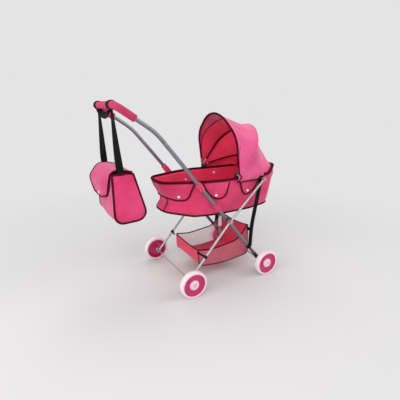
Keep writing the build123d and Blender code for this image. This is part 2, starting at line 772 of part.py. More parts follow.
def rear_hook(side):
    """Webbing loop on a rear leg with a tab to the basket's rear corner."""
    height = BASKET_REAR_TOP - STRAP_W / 2
    x = (height - AXLE_Z) / tan(leg_tilt)
    leg_dir = Vector(cos(leg_tilt), 0, sin(leg_tilt))
    ring_plane = Plane(origin=(x, side * LEG_Y, height), z_dir=leg_dir)
    ring = ring_plane * Cylinder(LEG_D / 2 + SEAT + STRAP_THICK, STRAP_W)
    inner = piping_out + SOFT
    length = LEG_Y - inner
    tab = Box(STRAP_THICK, length, STRAP_W)
    tab_plane = Plane(
        origin=(x, side * (inner + length / 2), height),
        x_dir=(-leg_dir.Z, 0, leg_dir.X),
        z_dir=leg_dir,
    )
    return ring + tab_plane * tab - ring_plane * Cylinder(LEG_D / 2 + SEAT, 2 * STRAP_W)


basket_rear_hooks = both_sides(rear_hook)

# Hanger straps: webbing from the leg sockets past the basket's front to the front legs
STRAP_Y = tube_out + STRAP_THICK / 2
strap_knee = Vector(BASKET_FRONT_X - 5.0, 0, BASKET_FRONT_TOP + 4.0)
strap_foot_height = 100.0


def hanger_strap(side):
    """Flat strap with an eye round the leg socket and a sewn loop round the front leg."""
    foot = tube_at_height(strap_foot_height, side * TUBE_Y)
    line = [(leg_top.X, leg_top.Z), (strap_knee.X, strap_knee.Z), (foot.X + 2.0, foot.Z)]
    path = FilletPolyline(*line, radius=STRAP_KNEE_RADIUS)
    inner, outer = side * (STRAP_Y - STRAP_THICK / 2), side * (STRAP_Y + STRAP_THICK / 2)
    band = profile_plate(trace(path, STRAP_W), inner, outer)
    band += across(leg_top.X, leg_top.Z, inner, outer, SOCKET_D + 8.0)
    band += tube_sleeve(strap_foot_height, side, STRAP_W, STRAP_THICK)
    band -= across(leg_top.X, leg_top.Z, inner, outer, SOCKET_D + 2 * SEAT)
    return band - tube_bore(strap_foot_height, side, STRAP_W)


hanger_straps = both_sides(hanger_strap)


def front_tab(side):
    """Tab that hangs a front corner of the basket on its strap."""
    start = piping_out + SOFT
    end = STRAP_Y - STRAP_THICK / 2 - SOFT
    tab = Box(STRAP_THICK, end - start, STRAP_W)
    return Pos(strap_knee.X, side * (start + end) / 2, BASKET_FRONT_TOP - STRAP_W) * tab


basket_front_tabs = both_sides(front_tab)

# Handle bag
bag_back_x = BAG_FRONT_X + BAG_MOUTH
bag_low = BAG_TOP - BAG_HEIGHT


def bag_outline(inset):
    """End panel of the bag: narrow mouth, wide rounded base leaning to the back."""
    points = [
        (BAG_FRONT_X + inset, BAG_TOP),
        (BAG_FRONT_X + inset, bag_low + inset),
        (BAG_FRONT_X + BAG_BASE - inset, bag_low + inset),
        (bag_back_x - inset, BAG_TOP),
    ]
    panel = make_face(Polyline(*points, close=True))
    return fillet(panel.vertices().group_by(Axis.Y)[0], BAG_CORNER)


bag_inside = BAG_HALF - BAG_WALL
bag_body = profile_plate(bag_outline(0), -BAG_HALF, BAG_HALF) - profile_plate(
    bag_outline(BAG_WALL), -bag_inside, bag_inside
)

flap_front = BAG_FRONT_X - BAG_FLAP_BULGE
flap_lift = BAG_WALL / 2 + SOFT
bag_flap_line = [
    (bag_back_x, BAG_TOP + flap_lift),
    (BAG_FRONT_X + BAG_FLAP_CREST / 2, BAG_TOP + flap_lift + BAG_FLAP_CREST),
    (flap_front, BAG_TOP - BAG_FLAP_ROUND),
    (BAG_FRONT_X - 14.0, BAG_TOP - BAG_FLAP_DROP),
]
bag_flap_path = FilletPolyline(*bag_flap_line, radius=[BAG_FLAP_ROUND, BAG_FLAP_ROUND])
bag_flap = profile_plate(trace(bag_flap_path, BAG_WALL), -BAG_FLAP_HALF, BAG_FLAP_HALF)
tongue_low = BAG_TOP - BAG_FLAP_DROP - BAG_WALL
tongue = Pos(0, (BAG_TOP + CUT_ABOVE + tongue_low) / 2) * Rectangle(
    2 * BAG_FLAP_HALF, BAG_TOP + CUT_ABOVE - tongue_low
)
tongue = fillet(tongue.vertices().group_by(Axis.Y)[0], 0.6 * BAG_FLAP_DROP)
facing = Plane(origin=(flap_front - BAG_FLAP_ROUND, 0, 0), x_dir=(0, 1, 0), z_dir=(1, 0, 0))
bag_flap = bag_flap & extrude(facing * tongue, amount=2 * BAG_BASE + CUT_ABOVE)


def bag_strap(side):
    """Webbing from the bag's end up to the bar, sewn into a loop round the grip."""
    y = side * BAG_STRAP_HALF
    ring = across(BAR_X, HANDLE_HEIGHT, y - BAG_STRAP_W / 2, y + BAG_STRAP_W / 2,
                  GRIP_D + 2 * (SOFT + BAG_STRAP_THICK))
    end_y = side * (BAG_HALF + SOFT + BAG_STRAP_THICK / 2)
    line = [
        (y, HANDLE_HEIGHT - GRIP_D / 2 - SOFT - BAG_STRAP_THICK / 2),
        (end_y, BAG_TOP + 10.0),
        (end_y, BAG_TOP - 30.0),
    ]
    path = FilletPolyline(*line, radius=BAG_STRAP_BEND)
    facing_x = Plane(origin=(BAG_STRAP_X - BAG_STRAP_W / 2, 0, 0), x_dir=(0, 1, 0), z_dir=(1, 0, 0))
    band = extrude(facing_x * trace(path, BAG_STRAP_THICK), amount=BAG_STRAP_W)
    hole = across(BAR_X, HANDLE_HEIGHT, y - BAG_STRAP_W, y + BAG_STRAP_W, GRIP_D + 2 * SOFT)
    return ring + band - hole


near_bag_strap = bag_strap(-1)
far_bag_strap = bag_strap(1)

strap_slack = 18.0
strap_loop_low = HANDLE_HEIGHT - GRIP_D / 2 - SOFT - BAG_STRAP_THICK / 2
slack_half = BAG_STRAP_HALF - BAG_STRAP_W / 2 - BAG_STRAP_THICK
slack_line = FilletPolyline(
    (-slack_half, strap_loop_low),
    (-0.5 * slack_half, strap_loop_low - strap_slack),
    (0.5 * slack_half, strap_loop_low - strap_slack),
    (slack_half, strap_loop_low),
    radius=40.0,
)
slack_plane = Plane(origin=(BAR_X - BAG_STRAP_W / 2, 0, 0), x_dir=(0, 1, 0), z_dir=(1, 0, 0))
bag_slack_strap = extrude(slack_plane * trace(slack_line, BAG_STRAP_THICK), amount=BAG_STRAP_W)


def bag_stud():
    """Press stud in the middle of the flap's front."""
    z = BAG_TOP - BAG_FLAP_DROP + 20.0
    hits = bag_flap.find_intersection_points(Axis((flap_front - 40.0, 0, z), (1, 0, 0)))
    point, normal = min(hits, key=lambda hit: hit[0].X)
    seat = Plane(origin=point - normal * 0.05, z_dir=normal)
    low = (Align.CENTER, Align.CENTER, Align.MIN)
    stud = Cylinder(STUD_D / 2, STUD_HIGH, align=low)
    return (seat * fillet(stud.edges().sort_by(Axis.Z)[-1], STUD_ROUND)) - bag_flap


bag_press_stud = bag_stud()

pieces = {
    "handle_tube": handle_tube,
    "foam_grip": foam_grip,
    "front_fittings": front_fittings,
    "front_axle": front_axle,
    "front_spacers": front_spacers,
    "front_push_nuts": front_push_nuts,
    "near_rear_leg": near_rear_leg,
    "far_rear_leg": far_rear_leg,
    "rear_axle": rear_axle,
    "rear_spacers": rear_spacers,
    "rear_push_nuts": rear_push_nuts,
    "pivot_rivets": pivot_rivets,
    "pivot_spacers": pivot_spacers,
    "leg_top_rivets": leg_top_rivets,
    **wheels,
    "cot_body": cot_body,
    "cot_rim_wire": cot_rim_wire,
    "cot_rim_binding": cot_rim_binding,
    "base_board": base_board,
    **flaps,
    "flap_studs": flap_studs,
    "lining_studs": lining_studs,
    "tube_loops": tube_loops,
    "leg_sockets": leg_sockets,
    **hood_bows,
    "hood_brackets": hood_brackets,
    "hood_rivets": hood_rivets,
    "hood_front_gore": hood_front_gore,
    "hood_rear_gore": hood_rear_gore,
    "basket_tray": basket_tray,
    "near_basket_net": near_basket_net,
    "far_basket_net": far_basket_net,
    "basket_rim_piping": basket_rim_piping,
    "basket_rear_hooks": basket_rear_hooks,
    "hanger_straps": hanger_straps,
    "basket_front_tabs": basket_front_tabs,
    "bag_body": bag_body,
    "bag_flap": bag_flap,
    "bag_press_stud": bag_press_stud,
    "near_bag_strap": near_bag_strap,
    "far_bag_strap": far_bag_strap,
    "bag_slack_strap": bag_slack_strap,
}

boxes = [piece.bounding_box() for piece in pieces.values()]
centre_x = (min(box.min.X for box in boxes) + max(box.max.X for box in boxes)) / 2

os.makedirs("parts", exist_ok=True)
for name, piece in pieces.items():
    export_step(Pos(-centre_x, 0, 0) * piece, f"parts/{name}.step")

print("centre_x", round(centre_x, 3))
for label, point in {"cross pivot": pivot, "leg top": leg_top}.items():
    print(label, round(point.X - centre_x, 3), round(point.Z, 3))
print("handle bar", round(BAR_X - centre_x, 3), HANDLE_HEIGHT)
print("hood pivot", round(HOOD_X - centre_x, 3), HOOD_Z)
print("rear axle", round(-centre_x, 3), "front axle", round(WHEELBASE - centre_x, 3))
print("bag hinge", round(bag_back_x - centre_x, 3), BAG_TOP + flap_lift)
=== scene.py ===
import bpy
import math
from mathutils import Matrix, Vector, noise


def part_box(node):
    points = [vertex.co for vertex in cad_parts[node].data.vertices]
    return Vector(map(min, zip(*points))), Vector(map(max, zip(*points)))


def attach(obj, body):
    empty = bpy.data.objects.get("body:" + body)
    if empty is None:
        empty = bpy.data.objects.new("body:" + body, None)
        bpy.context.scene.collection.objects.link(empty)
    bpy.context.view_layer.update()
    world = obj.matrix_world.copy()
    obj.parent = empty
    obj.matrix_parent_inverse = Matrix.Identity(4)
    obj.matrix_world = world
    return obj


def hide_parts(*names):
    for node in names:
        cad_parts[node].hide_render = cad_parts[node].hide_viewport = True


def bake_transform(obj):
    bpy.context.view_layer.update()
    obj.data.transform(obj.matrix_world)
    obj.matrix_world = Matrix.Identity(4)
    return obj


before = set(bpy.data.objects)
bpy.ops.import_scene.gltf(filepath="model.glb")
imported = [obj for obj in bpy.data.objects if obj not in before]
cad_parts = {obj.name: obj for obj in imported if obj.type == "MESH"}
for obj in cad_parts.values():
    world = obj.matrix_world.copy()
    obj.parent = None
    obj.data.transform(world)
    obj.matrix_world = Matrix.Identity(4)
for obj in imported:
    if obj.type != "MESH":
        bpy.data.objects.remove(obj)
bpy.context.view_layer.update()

# Studio floor: a plain pale sheet of paper under and behind the pram. Close to the pram it takes
# light and shadow, and further off it fades into the even tone of the backdrop.
FLOOR_WIDTH = 80
FADE_FROM, FADE_TO = 0.45, 1.5
NEAR_FLOOR = (0.66, 0.65, 0.645)
PAPER = (0.775, 0.775, 0.785)


def fill(tree, node, sockets):
    """Fills the sockets of a shader node with plain values or with links."""
    for socket, value in sockets.items():
        if isinstance(value, bpy.types.NodeSocket):
            tree.links.new(value, node.inputs[socket])
        else:
            node.inputs[socket].default_value = value


def add_node(tree, kind, sockets, **options):
    """Adds a shader node with its options and its sockets."""
    node = tree.nodes.new("ShaderNode" + kind)
    for option, value in options.items():
        setattr(node, option, value)
    fill(tree, node, sockets)
    return node


def new_finish(name):
    """A new material, with its node tree, its main shader and the place on the piece."""
    finish = bpy.data.materials.new(name)
    finish.use_nodes = True
    tree = finish.node_tree
    place = add_node(tree, "TexCoord", {}).outputs["Object"]
    return finish, tree, tree.nodes["Principled BSDF"], place


bpy.ops.object.select_all(action="DESELECT")
bpy.ops.mesh.primitive_plane_add(size=FLOOR_WIDTH, location=(0, 0, 0))
floor = bpy.context.object
floor.name = "studio_floor"
floor_paper, tree, shader, place = new_finish("studio_floor_paper")
fill(tree, shader, {"Base Color": (*NEAR_FLOOR, 1), "Roughness": 0.95, "Specular IOR Level": 0.1})
far_tone = add_node(tree, "Emission", {"Color": (*PAPER, 1)})
reach = add_node(tree, "VectorMath", {0: place}, operation="LENGTH")
fade = add_node(
    tree, "MapRange", {"Value": reach.outputs["Value"], "From Min": FADE_FROM, "From Max": FADE_TO},
    interpolation_type="SMOOTHSTEP",
)
faded = add_node(
    tree, "MixShader", {0: fade.outputs["Result"], 1: shader.outputs[0], 2: far_tone.outputs[0]}
)
fill(tree, tree.nodes["Material Output"], {"Surface": faded.outputs[0]})
floor.data.materials.append(floor_paper)

# Studio light: a pale sky that fills the shadows and four large soft lamps. The camera, and what
# shines or is clear, sees the tone of the backdrop instead of the sky.
SKY = (0.94, 0.96, 1.0)
SKY_STRENGTH = 0.56
scene = bpy.context.scene
scene.view_settings.view_transform = "Standard"
scene.world = bpy.data.worlds.new("studio_air")
scene.world.use_nodes = True
air = scene.world.node_tree
sky = air.nodes["Background"]
fill(air, sky, {"Color": (*SKY, 1), "Strength": SKY_STRENGTH})
backdrop = add_node(air, "Background", {"Color": (*PAPER, 1)})
ray = add_node(air, "LightPath", {})
seen = ray.outputs["Is Camera Ray"]
for ray_kind in ("Is Glossy Ray", "Is Transmission Ray"):
    seen = add_node(air, "Math", {0: seen, 1: ray.outputs[ray_kind]}, operation="MAXIMUM").outputs[0]
air_mix = add_node(air, "MixShader", {0: seen, 1: sky.outputs[0], 2: backdrop.outputs[0]})
fill(air, air.nodes["World Output"], {"Surface": air_mix.outputs[0]})
for lamp_name, spot, aim, power, width in (
    ("key_lamp", (-1.6, -2.2, 2.6), (0, 0, 0.3), 40, 1.8),
    ("fill_lamp", (1.9, -1.6, 1.9), (0, 0, 0.3), 22, 1.6),
    ("top_lamp", (0.3, 0.9, 3.0), (0, 0, 0.2), 28, 2.2),
    ("foot_lamp", (-2.4, -0.5, 0.9), (0.12, 0, 0.5), 30, 1.6),
):
    bpy.ops.object.light_add(type="AREA", location=spot)
    lamp = bpy.context.object
    lamp.name = lamp_name
    lamp.data.energy = power
    lamp.data.size = width
    lamp.rotation_euler = (Vector(aim) - Vector(spot)).to_track_quat("-Z", "Y").to_euler()

# Camera: stands where the photograph was taken from, with the same field of view. Places on the
# pram are in millimetres from the rear axle; the sizes of piping, straps and sheets are in metres.
EYE = (-417.7, -922.3, 582.3)
LOOK_DOWN, HEADING = 16.5, -29.88
LENS, SENSOR = 28.2, 36
axle_low, axle_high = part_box("rear_axle")
CENTRE = -500 * (axle_low.x + axle_high.x)


def at(x, y, z):
    """Point of the pram, from millimetres measured at the rear axle."""
    return Vector(((x - CENTRE) / 1000, y / 1000, z / 1000))


bpy.ops.object.camera_add(
    location=at(*EYE), rotation=(math.radians(90 - LOOK_DOWN), 0, math.radians(HEADING))
)
scene.camera = bpy.context.object
scene.camera.data.lens = LENS
scene.camera.data.sensor_width = SENSOR
scene.camera.data.clip_end = 100


# Frame metal: the push handle and the front legs are one bent grey tube. The rear legs, axles,
# rivets and hood wires are bright plated steel. Both have a fine grain and a clouded polish.
def cloudy(tree, place, scale, **more):
    """Cloudy pattern over a piece, by its scale and its other sockets."""
    return add_node(tree, "TexNoise", {"Vector": place, "Scale": scale, **more}).outputs["Fac"]


def two_tone(tree, cloud, levels, colours):
    """Colour that goes from one tone to the other between two levels of a cloudy pattern."""
    ramp = add_node(tree, "ValToRGB", {"Fac": cloud})
    for stop, level, colour in zip(ramp.color_ramp.elements, levels, colours):
        stop.position = level
        stop.color = (*colour, 1)
    return ramp.outputs["Color"]


def metal(name, colour, rough, grain):
    """Metal with a fine grain and a cloudy, slightly worn polish."""
    finish, tree, shader, place = new_finish(name)
    cloud = cloudy(tree, place, 60, Detail=4)
    polish = add_node(tree, "MapRange", {"Value": cloud, "To Min": rough - 0.06, "To Max": rough + 0.1})
    fine = cloudy(tree, place, grain)
    bump = add_node(tree, "Bump", {"Strength": 0.08, "Distance": 0.0004, "Height": fine})
    fill(tree, shader, {
        "Base Color": two_tone(tree, cloud, (0.3, 0.7), (tuple(c * 0.86 for c in colour), colour)),
        "Metallic": 0.85, "Roughness": polish.outputs["Result"], "Normal": bump.outputs["Normal"],
    })
    return finish


def dress(finish, *names):
    """Puts one finish on CAD pieces."""
    for name in names:
        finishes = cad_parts[name].data.materials
        finishes.clear()
        finishes.append(finish)


dress(metal("drawn_grey_tube", (0.25, 0.258, 0.285), 0.34, 700), "handle_tube")
dress(
    metal("bright_plated_steel", (0.47, 0.465, 0.475), 0.3, 900),
    "near_rear_leg", "far_rear_leg", "front_axle", "rear_axle", "front_push_nuts", "rear_push_nuts",
    "pivot_rivets", "leg_top_rivets", "hood_rivets", "cot_rim_wire",
    "hood_rear_bow", "hood_mid_bow", "hood_front_bow",
)


# Moulded plastic: black end fittings, sockets, bushes and hood brackets, and grey axle sleeves.
# They are injection moulded, with a faint grain and a soft satin surface.
def moulded(name, colour, rough, grain=500, coat=0.0):
    """Moulded plastic with fine surface grain and slight mottling."""
    finish, tree, shader, place = new_finish(name)
    mottle = cloudy(tree, place, 45)
    skin = cloudy(tree, place, grain)
    polish = add_node(tree, "MapRange", {"Value": skin, "To Min": rough - 0.05, "To Max": rough + 0.08})
    bump = add_node(tree, "Bump", {"Strength": 0.15, "Distance": 0.0005, "Height": skin})
    fill(tree, shader, {
        "Base Color": two_tone(tree, mottle, (0.25, 0.75), (tuple(c * 0.9 for c in colour), colour)),
        "Coat Weight": coat, "Roughness": polish.outputs["Result"], "Normal": bump.outputs["Normal"],
    })
    return finish


dress(
    moulded("black_moulding", (0.022, 0.022, 0.025), 0.45),
    "front_fittings", "leg_sockets", "pivot_spacers", "hood_brackets",
)
dress(moulded("grey_axle_sleeve", (0.5, 0.5, 0.51), 0.4), "front_spacers", "rear_spacers")

# Wheels: very pale pink foam tyres on glossy magenta discs. Each hub cap is pale pink with a
# slightly deeper dished middle; it snaps over the end of the axle.
TYRE_PALE = (0.9, 0.72, 0.785)
DISC_PINK = (0.56, 0.018, 0.135)
CAP_PALE = (0.92, 0.63, 0.725)
CAP_PINK = (0.86, 0.45, 0.56)
DISH_FROM, DISH_TO = 0.0062, 0.0068
tyre_foam = moulded("pale_tyre_foam", TYRE_PALE, 0.6, 900)
disc_plastic = moulded("magenta_wheel_plastic", DISC_PINK, 0.3, 400, 0.25)
for wheel in ("front_near", "front_far", "rear_near", "rear_far"):
    dress(tyre_foam, f"{wheel}_tyre")
    dress(disc_plastic, f"{wheel}_disc")
    cap_plastic = moulded(f"{wheel}_cap_plastic", CAP_PALE, 0.28, 400, 0.3)
    tree = cap_plastic.node_tree
    cap_colour = tree.nodes["Principled BSDF"].inputs["Base Color"]
    pale = cap_colour.links[0].from_socket
    low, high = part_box(f"{wheel}_cap")
    middle = (low + high) / 2
    place = add_node(tree, "TexCoord", {}).outputs["Object"]
    centred = add_node(
        tree, "Mapping", {"Vector": place, "Location": (-middle.x, 0, -middle.z), "Scale": (1, 0, 1)}
    )
    reach = add_node(tree, "VectorMath", {0: centred.outputs["Vector"]}, operation="LENGTH")
    rim = add_node(
        tree, "MapRange", {"Value": reach.outputs["Value"], "From Min": DISH_FROM, "From Max": DISH_TO}
    )
    tint = add_node(
        tree, "Mix", {"Factor": rim.outputs["Result"], "A": (*CAP_PINK, 1), "B": pale}, data_type="RGBA"
    )
    tree.links.new(tint.outputs["Result"], cap_colour)
    dress(cap_plastic, f"{wheel}_cap")

# Push bar grip: a slit tube of closed-cell pink foam pushed over the bar and round its corners.
# Its skin is soft and matt with fine open pores.
dress(moulded("pink_grip_foam", (0.5, 0.025, 0.1), 0.75, 1600), "foam_grip")

# Press studs: small pearl-white caps, snapped through the flaps of the cot and of the bag, and
# through the cot's lining for a doll's cover.
dress(
    moulded("pearl_stud", (0.9, 0.86, 0.86), 0.22, 500, 0.4),
    "flap_studs", "lining_studs", "bag_press_stud",
)

# Cloth of the carrycot: hot pink woven polyester over a thin wadding, sewn from two long sides
# and a base, and hung from the wire in its rim. At the head it stands higher than the wire, whose
# casing shows across it. Leans and tapers are what the rim's sizes lose towards the base.
RIM_Z, COT_DEPTH = 358.0, 122.0
FOOT_X, WIDEST_X, HEAD_X = -54.2, 105, 372
FOOT_HALF, WIDEST_HALF, HEAD_HALF = 50, 116, 98
FOOT_LEAN, HEAD_LEAN = 14, 12
FOOT_TAPER, SIDE_TAPER, HEAD_TAPER = 13.5, 27, 16.2
FOOT_ROUND, SIDE_ROUND, HEAD_ROUND = 0.95, 330, 38
TIGHT_AT, LET_OUT = 0.56, 0.24
FOOT_PULL, FOOT_PINCH, PULL_REACH = 20.0, 0.15, 90
BASE_Z, BASE_MIDDLE_X = 236, 150
FOOT_BEND_X, FOOT_RISE, FOOT_RUN = 49.3, 34, 143.5
HEAD_BEND_X, BASE_RISE, HEAD_RUN = 265, 16, 147
HEAD_WALL_X, HEAD_WALL_RUN, HEAD_RISE = 326, 40, 27.0
CASING_PROUD, CASING_REACH, CASING_RAMP = 2.9, 9, 12
RING, LEVELS, ARC_STEPS = 168, 24, 16


def cloth(name, colour, dark, weave=260, crumple=34, lift=0.5, sheen=0.25, shine=0.25):
    """Woven polyester: a fine plain weave, soft crumples and uneven dye."""
    finish, tree, shader, place = new_finish(name)
    dye = cloudy(tree, place, 14, Detail=5)
    shade = two_tone(tree, dye, (0.3, 0.68), (dark, colour))
    thread = {"Vector": place, "Scale": weave, "Distortion": 0.6}
    warp = add_node(tree, "TexWave", thread, bands_direction="X").outputs["Fac"]
    weft = add_node(tree, "TexWave", thread, bands_direction="Z").outputs["Fac"]
    threads = add_node(tree, "Math", {0: warp, 1: weft}, operation="MULTIPLY").outputs["Value"]
    worn = add_node(
        tree, "Mix", {"Factor": 0.12, "A": shade, "B": threads}, data_type="RGBA", blend_type="MULTIPLY"
    )
    folds = cloudy(tree, place, crumple, Detail=3, Distortion=0.8)
    bump = add_node(tree, "Bump", {"Strength": lift, "Distance": 0.006, "Height": folds})
    soft = bump.outputs["Normal"]
    fine = add_node(
        tree, "Bump", {"Strength": 0.25, "Distance": 0.0004, "Height": threads, "Normal": soft}
    )
    fill(tree, shader, {
        "Base Color": worn.outputs["Result"], "Normal": fine.outputs["Normal"], "Roughness": 0.72,
        "Specular IOR Level": shine, "Sheen Weight": sheen, "Sheen Roughness": 0.5,
    })
    return finish


def rounded(points, radii, count, closed=False):
    """Evenly spaced points along straight runs joined by arcs."""
    line = []
    total = len(points)
    for i, (corner, radius) in enumerate(zip(points, radii)):
        here = Vector(corner)
        if not closed and i in (0, total - 1):
            line.append(here)
            continue
        back = (Vector(points[i - 1]) - here).normalized()
        ahead = (Vector(points[(i + 1) % total]) - here).normalized()
        half = back.angle(ahead) / 2
        reach = radius / math.tan(half)
        centre = here + (back + ahead).normalized() * (radius / math.sin(half))
        start, end = here + back * reach, here + ahead * reach
        sweep = math.pi - 2 * half
        steps = max(4, int(sweep * ARC_STEPS))
        a, b = start - centre, end - centre
        for k in range(steps + 1):
            t = k / steps
            swept = a * math.sin((1 - t) * sweep) + b * math.sin(t * sweep)
            line.append(centre + swept / math.sin(sweep))
    if closed:
        line.append(line[0])
    lengths = [0.0]
    for p, q in zip(line, line[1:]):
        lengths.append(lengths[-1] + (q - p).length)
    spaced, k = [], 0
    last = count if closed else count - 1
    for i in range(count):
        goal = lengths[-1] * i / last
        while k < len(line) - 2 and lengths[k + 1] < goal:
            k += 1
        gap = lengths[k + 1] - lengths[k] or 1.0
        spaced.append(line[k].lerp(line[k + 1], (goal - lengths[k]) / gap))
    return spaced


def eased(t):
    """Share between 0 and 1 that starts and ends gently."""
    t = min(1.0, max(0.0, t))
    return t * t * (3 - 2 * t)


def cot_plan(share):
    """Outline of the cot seen from above, from its rim at share 0 to its base at share 1."""
    foot, head = FOOT_X + FOOT_LEAN * share, HEAD_X - HEAD_LEAN * share
    foot_half = FOOT_HALF - FOOT_TAPER * share
    side, head_half = WIDEST_HALF - SIDE_TAPER * share, HEAD_HALF - HEAD_TAPER * share
    corners = [(foot - 0.5, 0), (foot, -foot_half), (WIDEST_X, -side), (head, -head_half)]
    corners += [(head, head_half), (WIDEST_X, side), (foot, foot_half)]
    foot_round = FOOT_ROUND * foot_half
    radii = [1.0, foot_round, SIDE_ROUND, HEAD_ROUND, HEAD_ROUND, SIDE_ROUND, foot_round]
    outline = rounded(corners, radii, RING, True)
    # The foot's cloth is drawn in behind its flap, and not at the rim or the base.
    waist = eased(share / TIGHT_AT) * (1 - eased((share - TIGHT_AT) / LET_OUT))
    for spot in outline:
        near_foot = waist * math.exp(-((spot - Vector((foot, 0))).length / PULL_REACH) ** 2)
        spot.x += FOOT_PULL * near_foot
        spot.y *= 1 - FOOT_PINCH * near_foot
    return outline


plans = [cot_plan(k / LEVELS) for k in range(LEVELS + 1)]


def on_plan(step, share):
    """Point of the cot's outline, by its step round the ring and its share of the depth."""
    level = min(max(share, 0.0), 1.0) * LEVELS
    k = min(int(level), LEVELS - 1)
    return plans[k][step % RING].lerp(plans[k + 1][step % RING], level - k)


def outward(step, share):
    """Direction out of the cot's side at a step round the ring."""
    run = on_plan(step + 1, share) - on_plan(step - 1, share)
    return Vector((-run.y, run.x)).normalized() * -1


def underside(x):
    """Height of the cot's base along its length: it rises to the foot and a little at the head."""
    if x < FOOT_BEND_X:
        return BASE_Z + FOOT_RISE * (FOOT_BEND_X - x) / FOOT_RUN
    return BASE_Z + BASE_RISE * max(0.0, x - HEAD_BEND_X) / HEAD_RUN


def head_share(x):
    """Share of the head end's raised wall at a place along the cot."""
    return eased((x - HEAD_WALL_X) / HEAD_WALL_RUN)


def cot_skin(share, step, grow):
    """Point of the cot's side, with its height fitted to the rising base and the raised head."""
    rough = on_plan(step, share)
    top = RIM_Z + HEAD_RISE * head_share(rough.x)
    z = top - share * (top - underside(rough.x))
    true = (RIM_Z - z) / COT_DEPTH
    plan = on_plan(step, true) + outward(step, true) * grow
    return Vector((plan.x, plan.y, z))


def floor_spot(share, step, grow, inset):
    """Place on the cot's floor: a place on its side, drawn in towards the middle."""
    edge = cot_skin(share, step, grow)
    return BASE_MIDDLE_X + (edge.x - BASE_MIDDLE_X) * inset, edge.y * inset


def hump(t):
    """Swell that is 0 at both ends of a run and 1 in its middle."""
    return math.sin(math.pi * t)


def ruck(x, y, z):
    """Uneven lift of slack cloth, from -1 to 1, the same at each run."""
    return noise.noise(Vector((x, y, z)))


def apply_modifier(piece, kind, **settings):
    """Adds one modifier to a piece and applies it."""
    modifier = piece.modifiers.new(kind.lower(), kind)
    for setting, value in settings.items():
        setattr(modifier, setting, value)
    bpy.context.view_layer.objects.active = piece
    bpy.ops.object.modifier_apply(modifier=modifier.name)


def edit_all(operator, **settings):
    """Runs one mesh operator on the whole of the active piece."""
    bpy.ops.object.mode_set(mode="EDIT")
    bpy.ops.mesh.select_all(action="SELECT")
    operator(**settings)
    bpy.ops.object.mode_set(mode="OBJECT")


def sheet_piece(name, rows, around, place, finish, thick=0.0, ring=False, offset=0.0):
    """Cloth sheet: a flat grid laid out row by row, closed round where it is a ring."""
    bpy.ops.object.select_all(action="DESELECT")
    bpy.ops.mesh.primitive_grid_add(x_subdivisions=around, y_subdivisions=rows, size=1)
    piece = bpy.context.object
    piece.name = name
    for index, vertex in enumerate(piece.data.vertices):
        row, column = divmod(index, around + 1)
        vertex.co = place(row / rows, column / around, row, column)
    if ring:
        edit_all(bpy.ops.mesh.remove_doubles, threshold=0.00002)
    edit_all(bpy.ops.mesh.normals_make_consistent, inside=False)
    if thick:
        apply_modifier(piece, "SOLIDIFY", thickness=thick, offset=offset)
    bpy.ops.object.shade_smooth()
    piece.data.materials.append(finish)
    return piece


def fit(body, slot, *pieces):
    """Pieces that move with one body; the slot is not used."""
    for piece in pieces:
        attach(piece, body)


cot_pink = cloth("cot_pink_polyester", (0.85, 0.055, 0.185), (0.64, 0.022, 0.1))
SIDE_ROWS = [0.035, 0.08, 0.14, 0.2, 0.28, 0.36, 0.44, 0.5, 0.56, 0.6, 0.64, 0.68, 0.72, 0.76, 0.8]
SIDE_ROWS += [0.84, 0.89, 0.94, 0.97, 0.99, 1.0]
BASE_ROWS = [0.97, 0.93, 0.86, 0.74, 0.58, 0.38, 0.18, 0.0]
EASE, FULLNESS = 0.4, 0.9
TUCK_FROM, TUCK_RUN, TUCK_IN = 0.9, 0.1, 4.0
LONG_RUCK, SHORT_RUCK = 2.2, 1.2
FLAP_ZONE, FLAP_ROOM = 0.55, 0.1
BASE_IN, BASE_SAG = 5.0, 1.5


def cot_outside(v, u, row, column):
    """Outer cloth: full in the middle of its height, tucked in at the base seam."""
    step = column % RING
    if row < len(SIDE_ROWS):
        share = SIDE_ROWS[row]
        tuck = max(0.0, (share - TUCK_FROM) / TUCK_RUN)
        grow = EASE + FULLNESS * hump(share) - TUCK_IN * tuck * tuck
        point = cot_skin(share, step, grow)
        casing = math.exp(-((point.z - RIM_Z) / CASING_REACH) ** 2)
        casing *= min(1.0, CASING_RAMP * head_share(point.x))
        point = cot_skin(share, step, grow + CASING_PROUD * casing)
        bulge = LONG_RUCK * ruck(point.x / 34, point.y / 34, point.z / 60)
        bulge += SHORT_RUCK * ruck(point.x / 13, point.y / 13, point.z / 90 + 7)
        bulge *= hump(min(1, share * 1.05))
        if share < FLAP_ZONE:
            bulge = min(bulge, FLAP_ROOM) * (1 - casing)
        push = outward(step, share) * bulge
        return at(point.x + push.x, point.y + push.y, point.z)
    inset = BASE_ROWS[row - len(SIDE_ROWS)]
    x, y = floor_spot(1.0, step, -BASE_IN, inset)
    return at(x, y, underside(x) - BASE_SAG * (1 - inset * inset))


cot_cloth = sheet_piece(
    "cot_outer_cloth", len(SIDE_ROWS) + len(BASE_ROWS) - 1, RING, cot_outside, cot_pink,
    thick=0.0012, ring=True, offset=-1,
)
fit("frame", "cot_fabric", cot_cloth)
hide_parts("cot_body")

# Lining of the cot: redder cloth over thin wadding, sewn in at the rim, with a soft padded
# floor over the stiff board of grey card.
cot_lining = cloth("cot_red_lining", (0.95, 0.055, 0.165), (0.82, 0.035, 0.12))
LINING_ROWS = [0.03, 0.1, 0.2, 0.32, 0.44, 0.52, 0.58, 0.64, 0.7, 0.76, 0.82, 0.86, 0.9]
FLOOR_ROWS = [0.97, 0.9, 0.78, 0.6, 0.4, 0.2, 0.0]
LINING_IN, LINING_SLACK, LINING_RUCK = 3.4, 1.2, 0.5
FLOOR_SHARE, FLOOR_IN = 0.92, 8.0
FLOOR_LIFT, FLOOR_CROWN, FLOOR_RUCK = 8.5, 4.0, 0.8


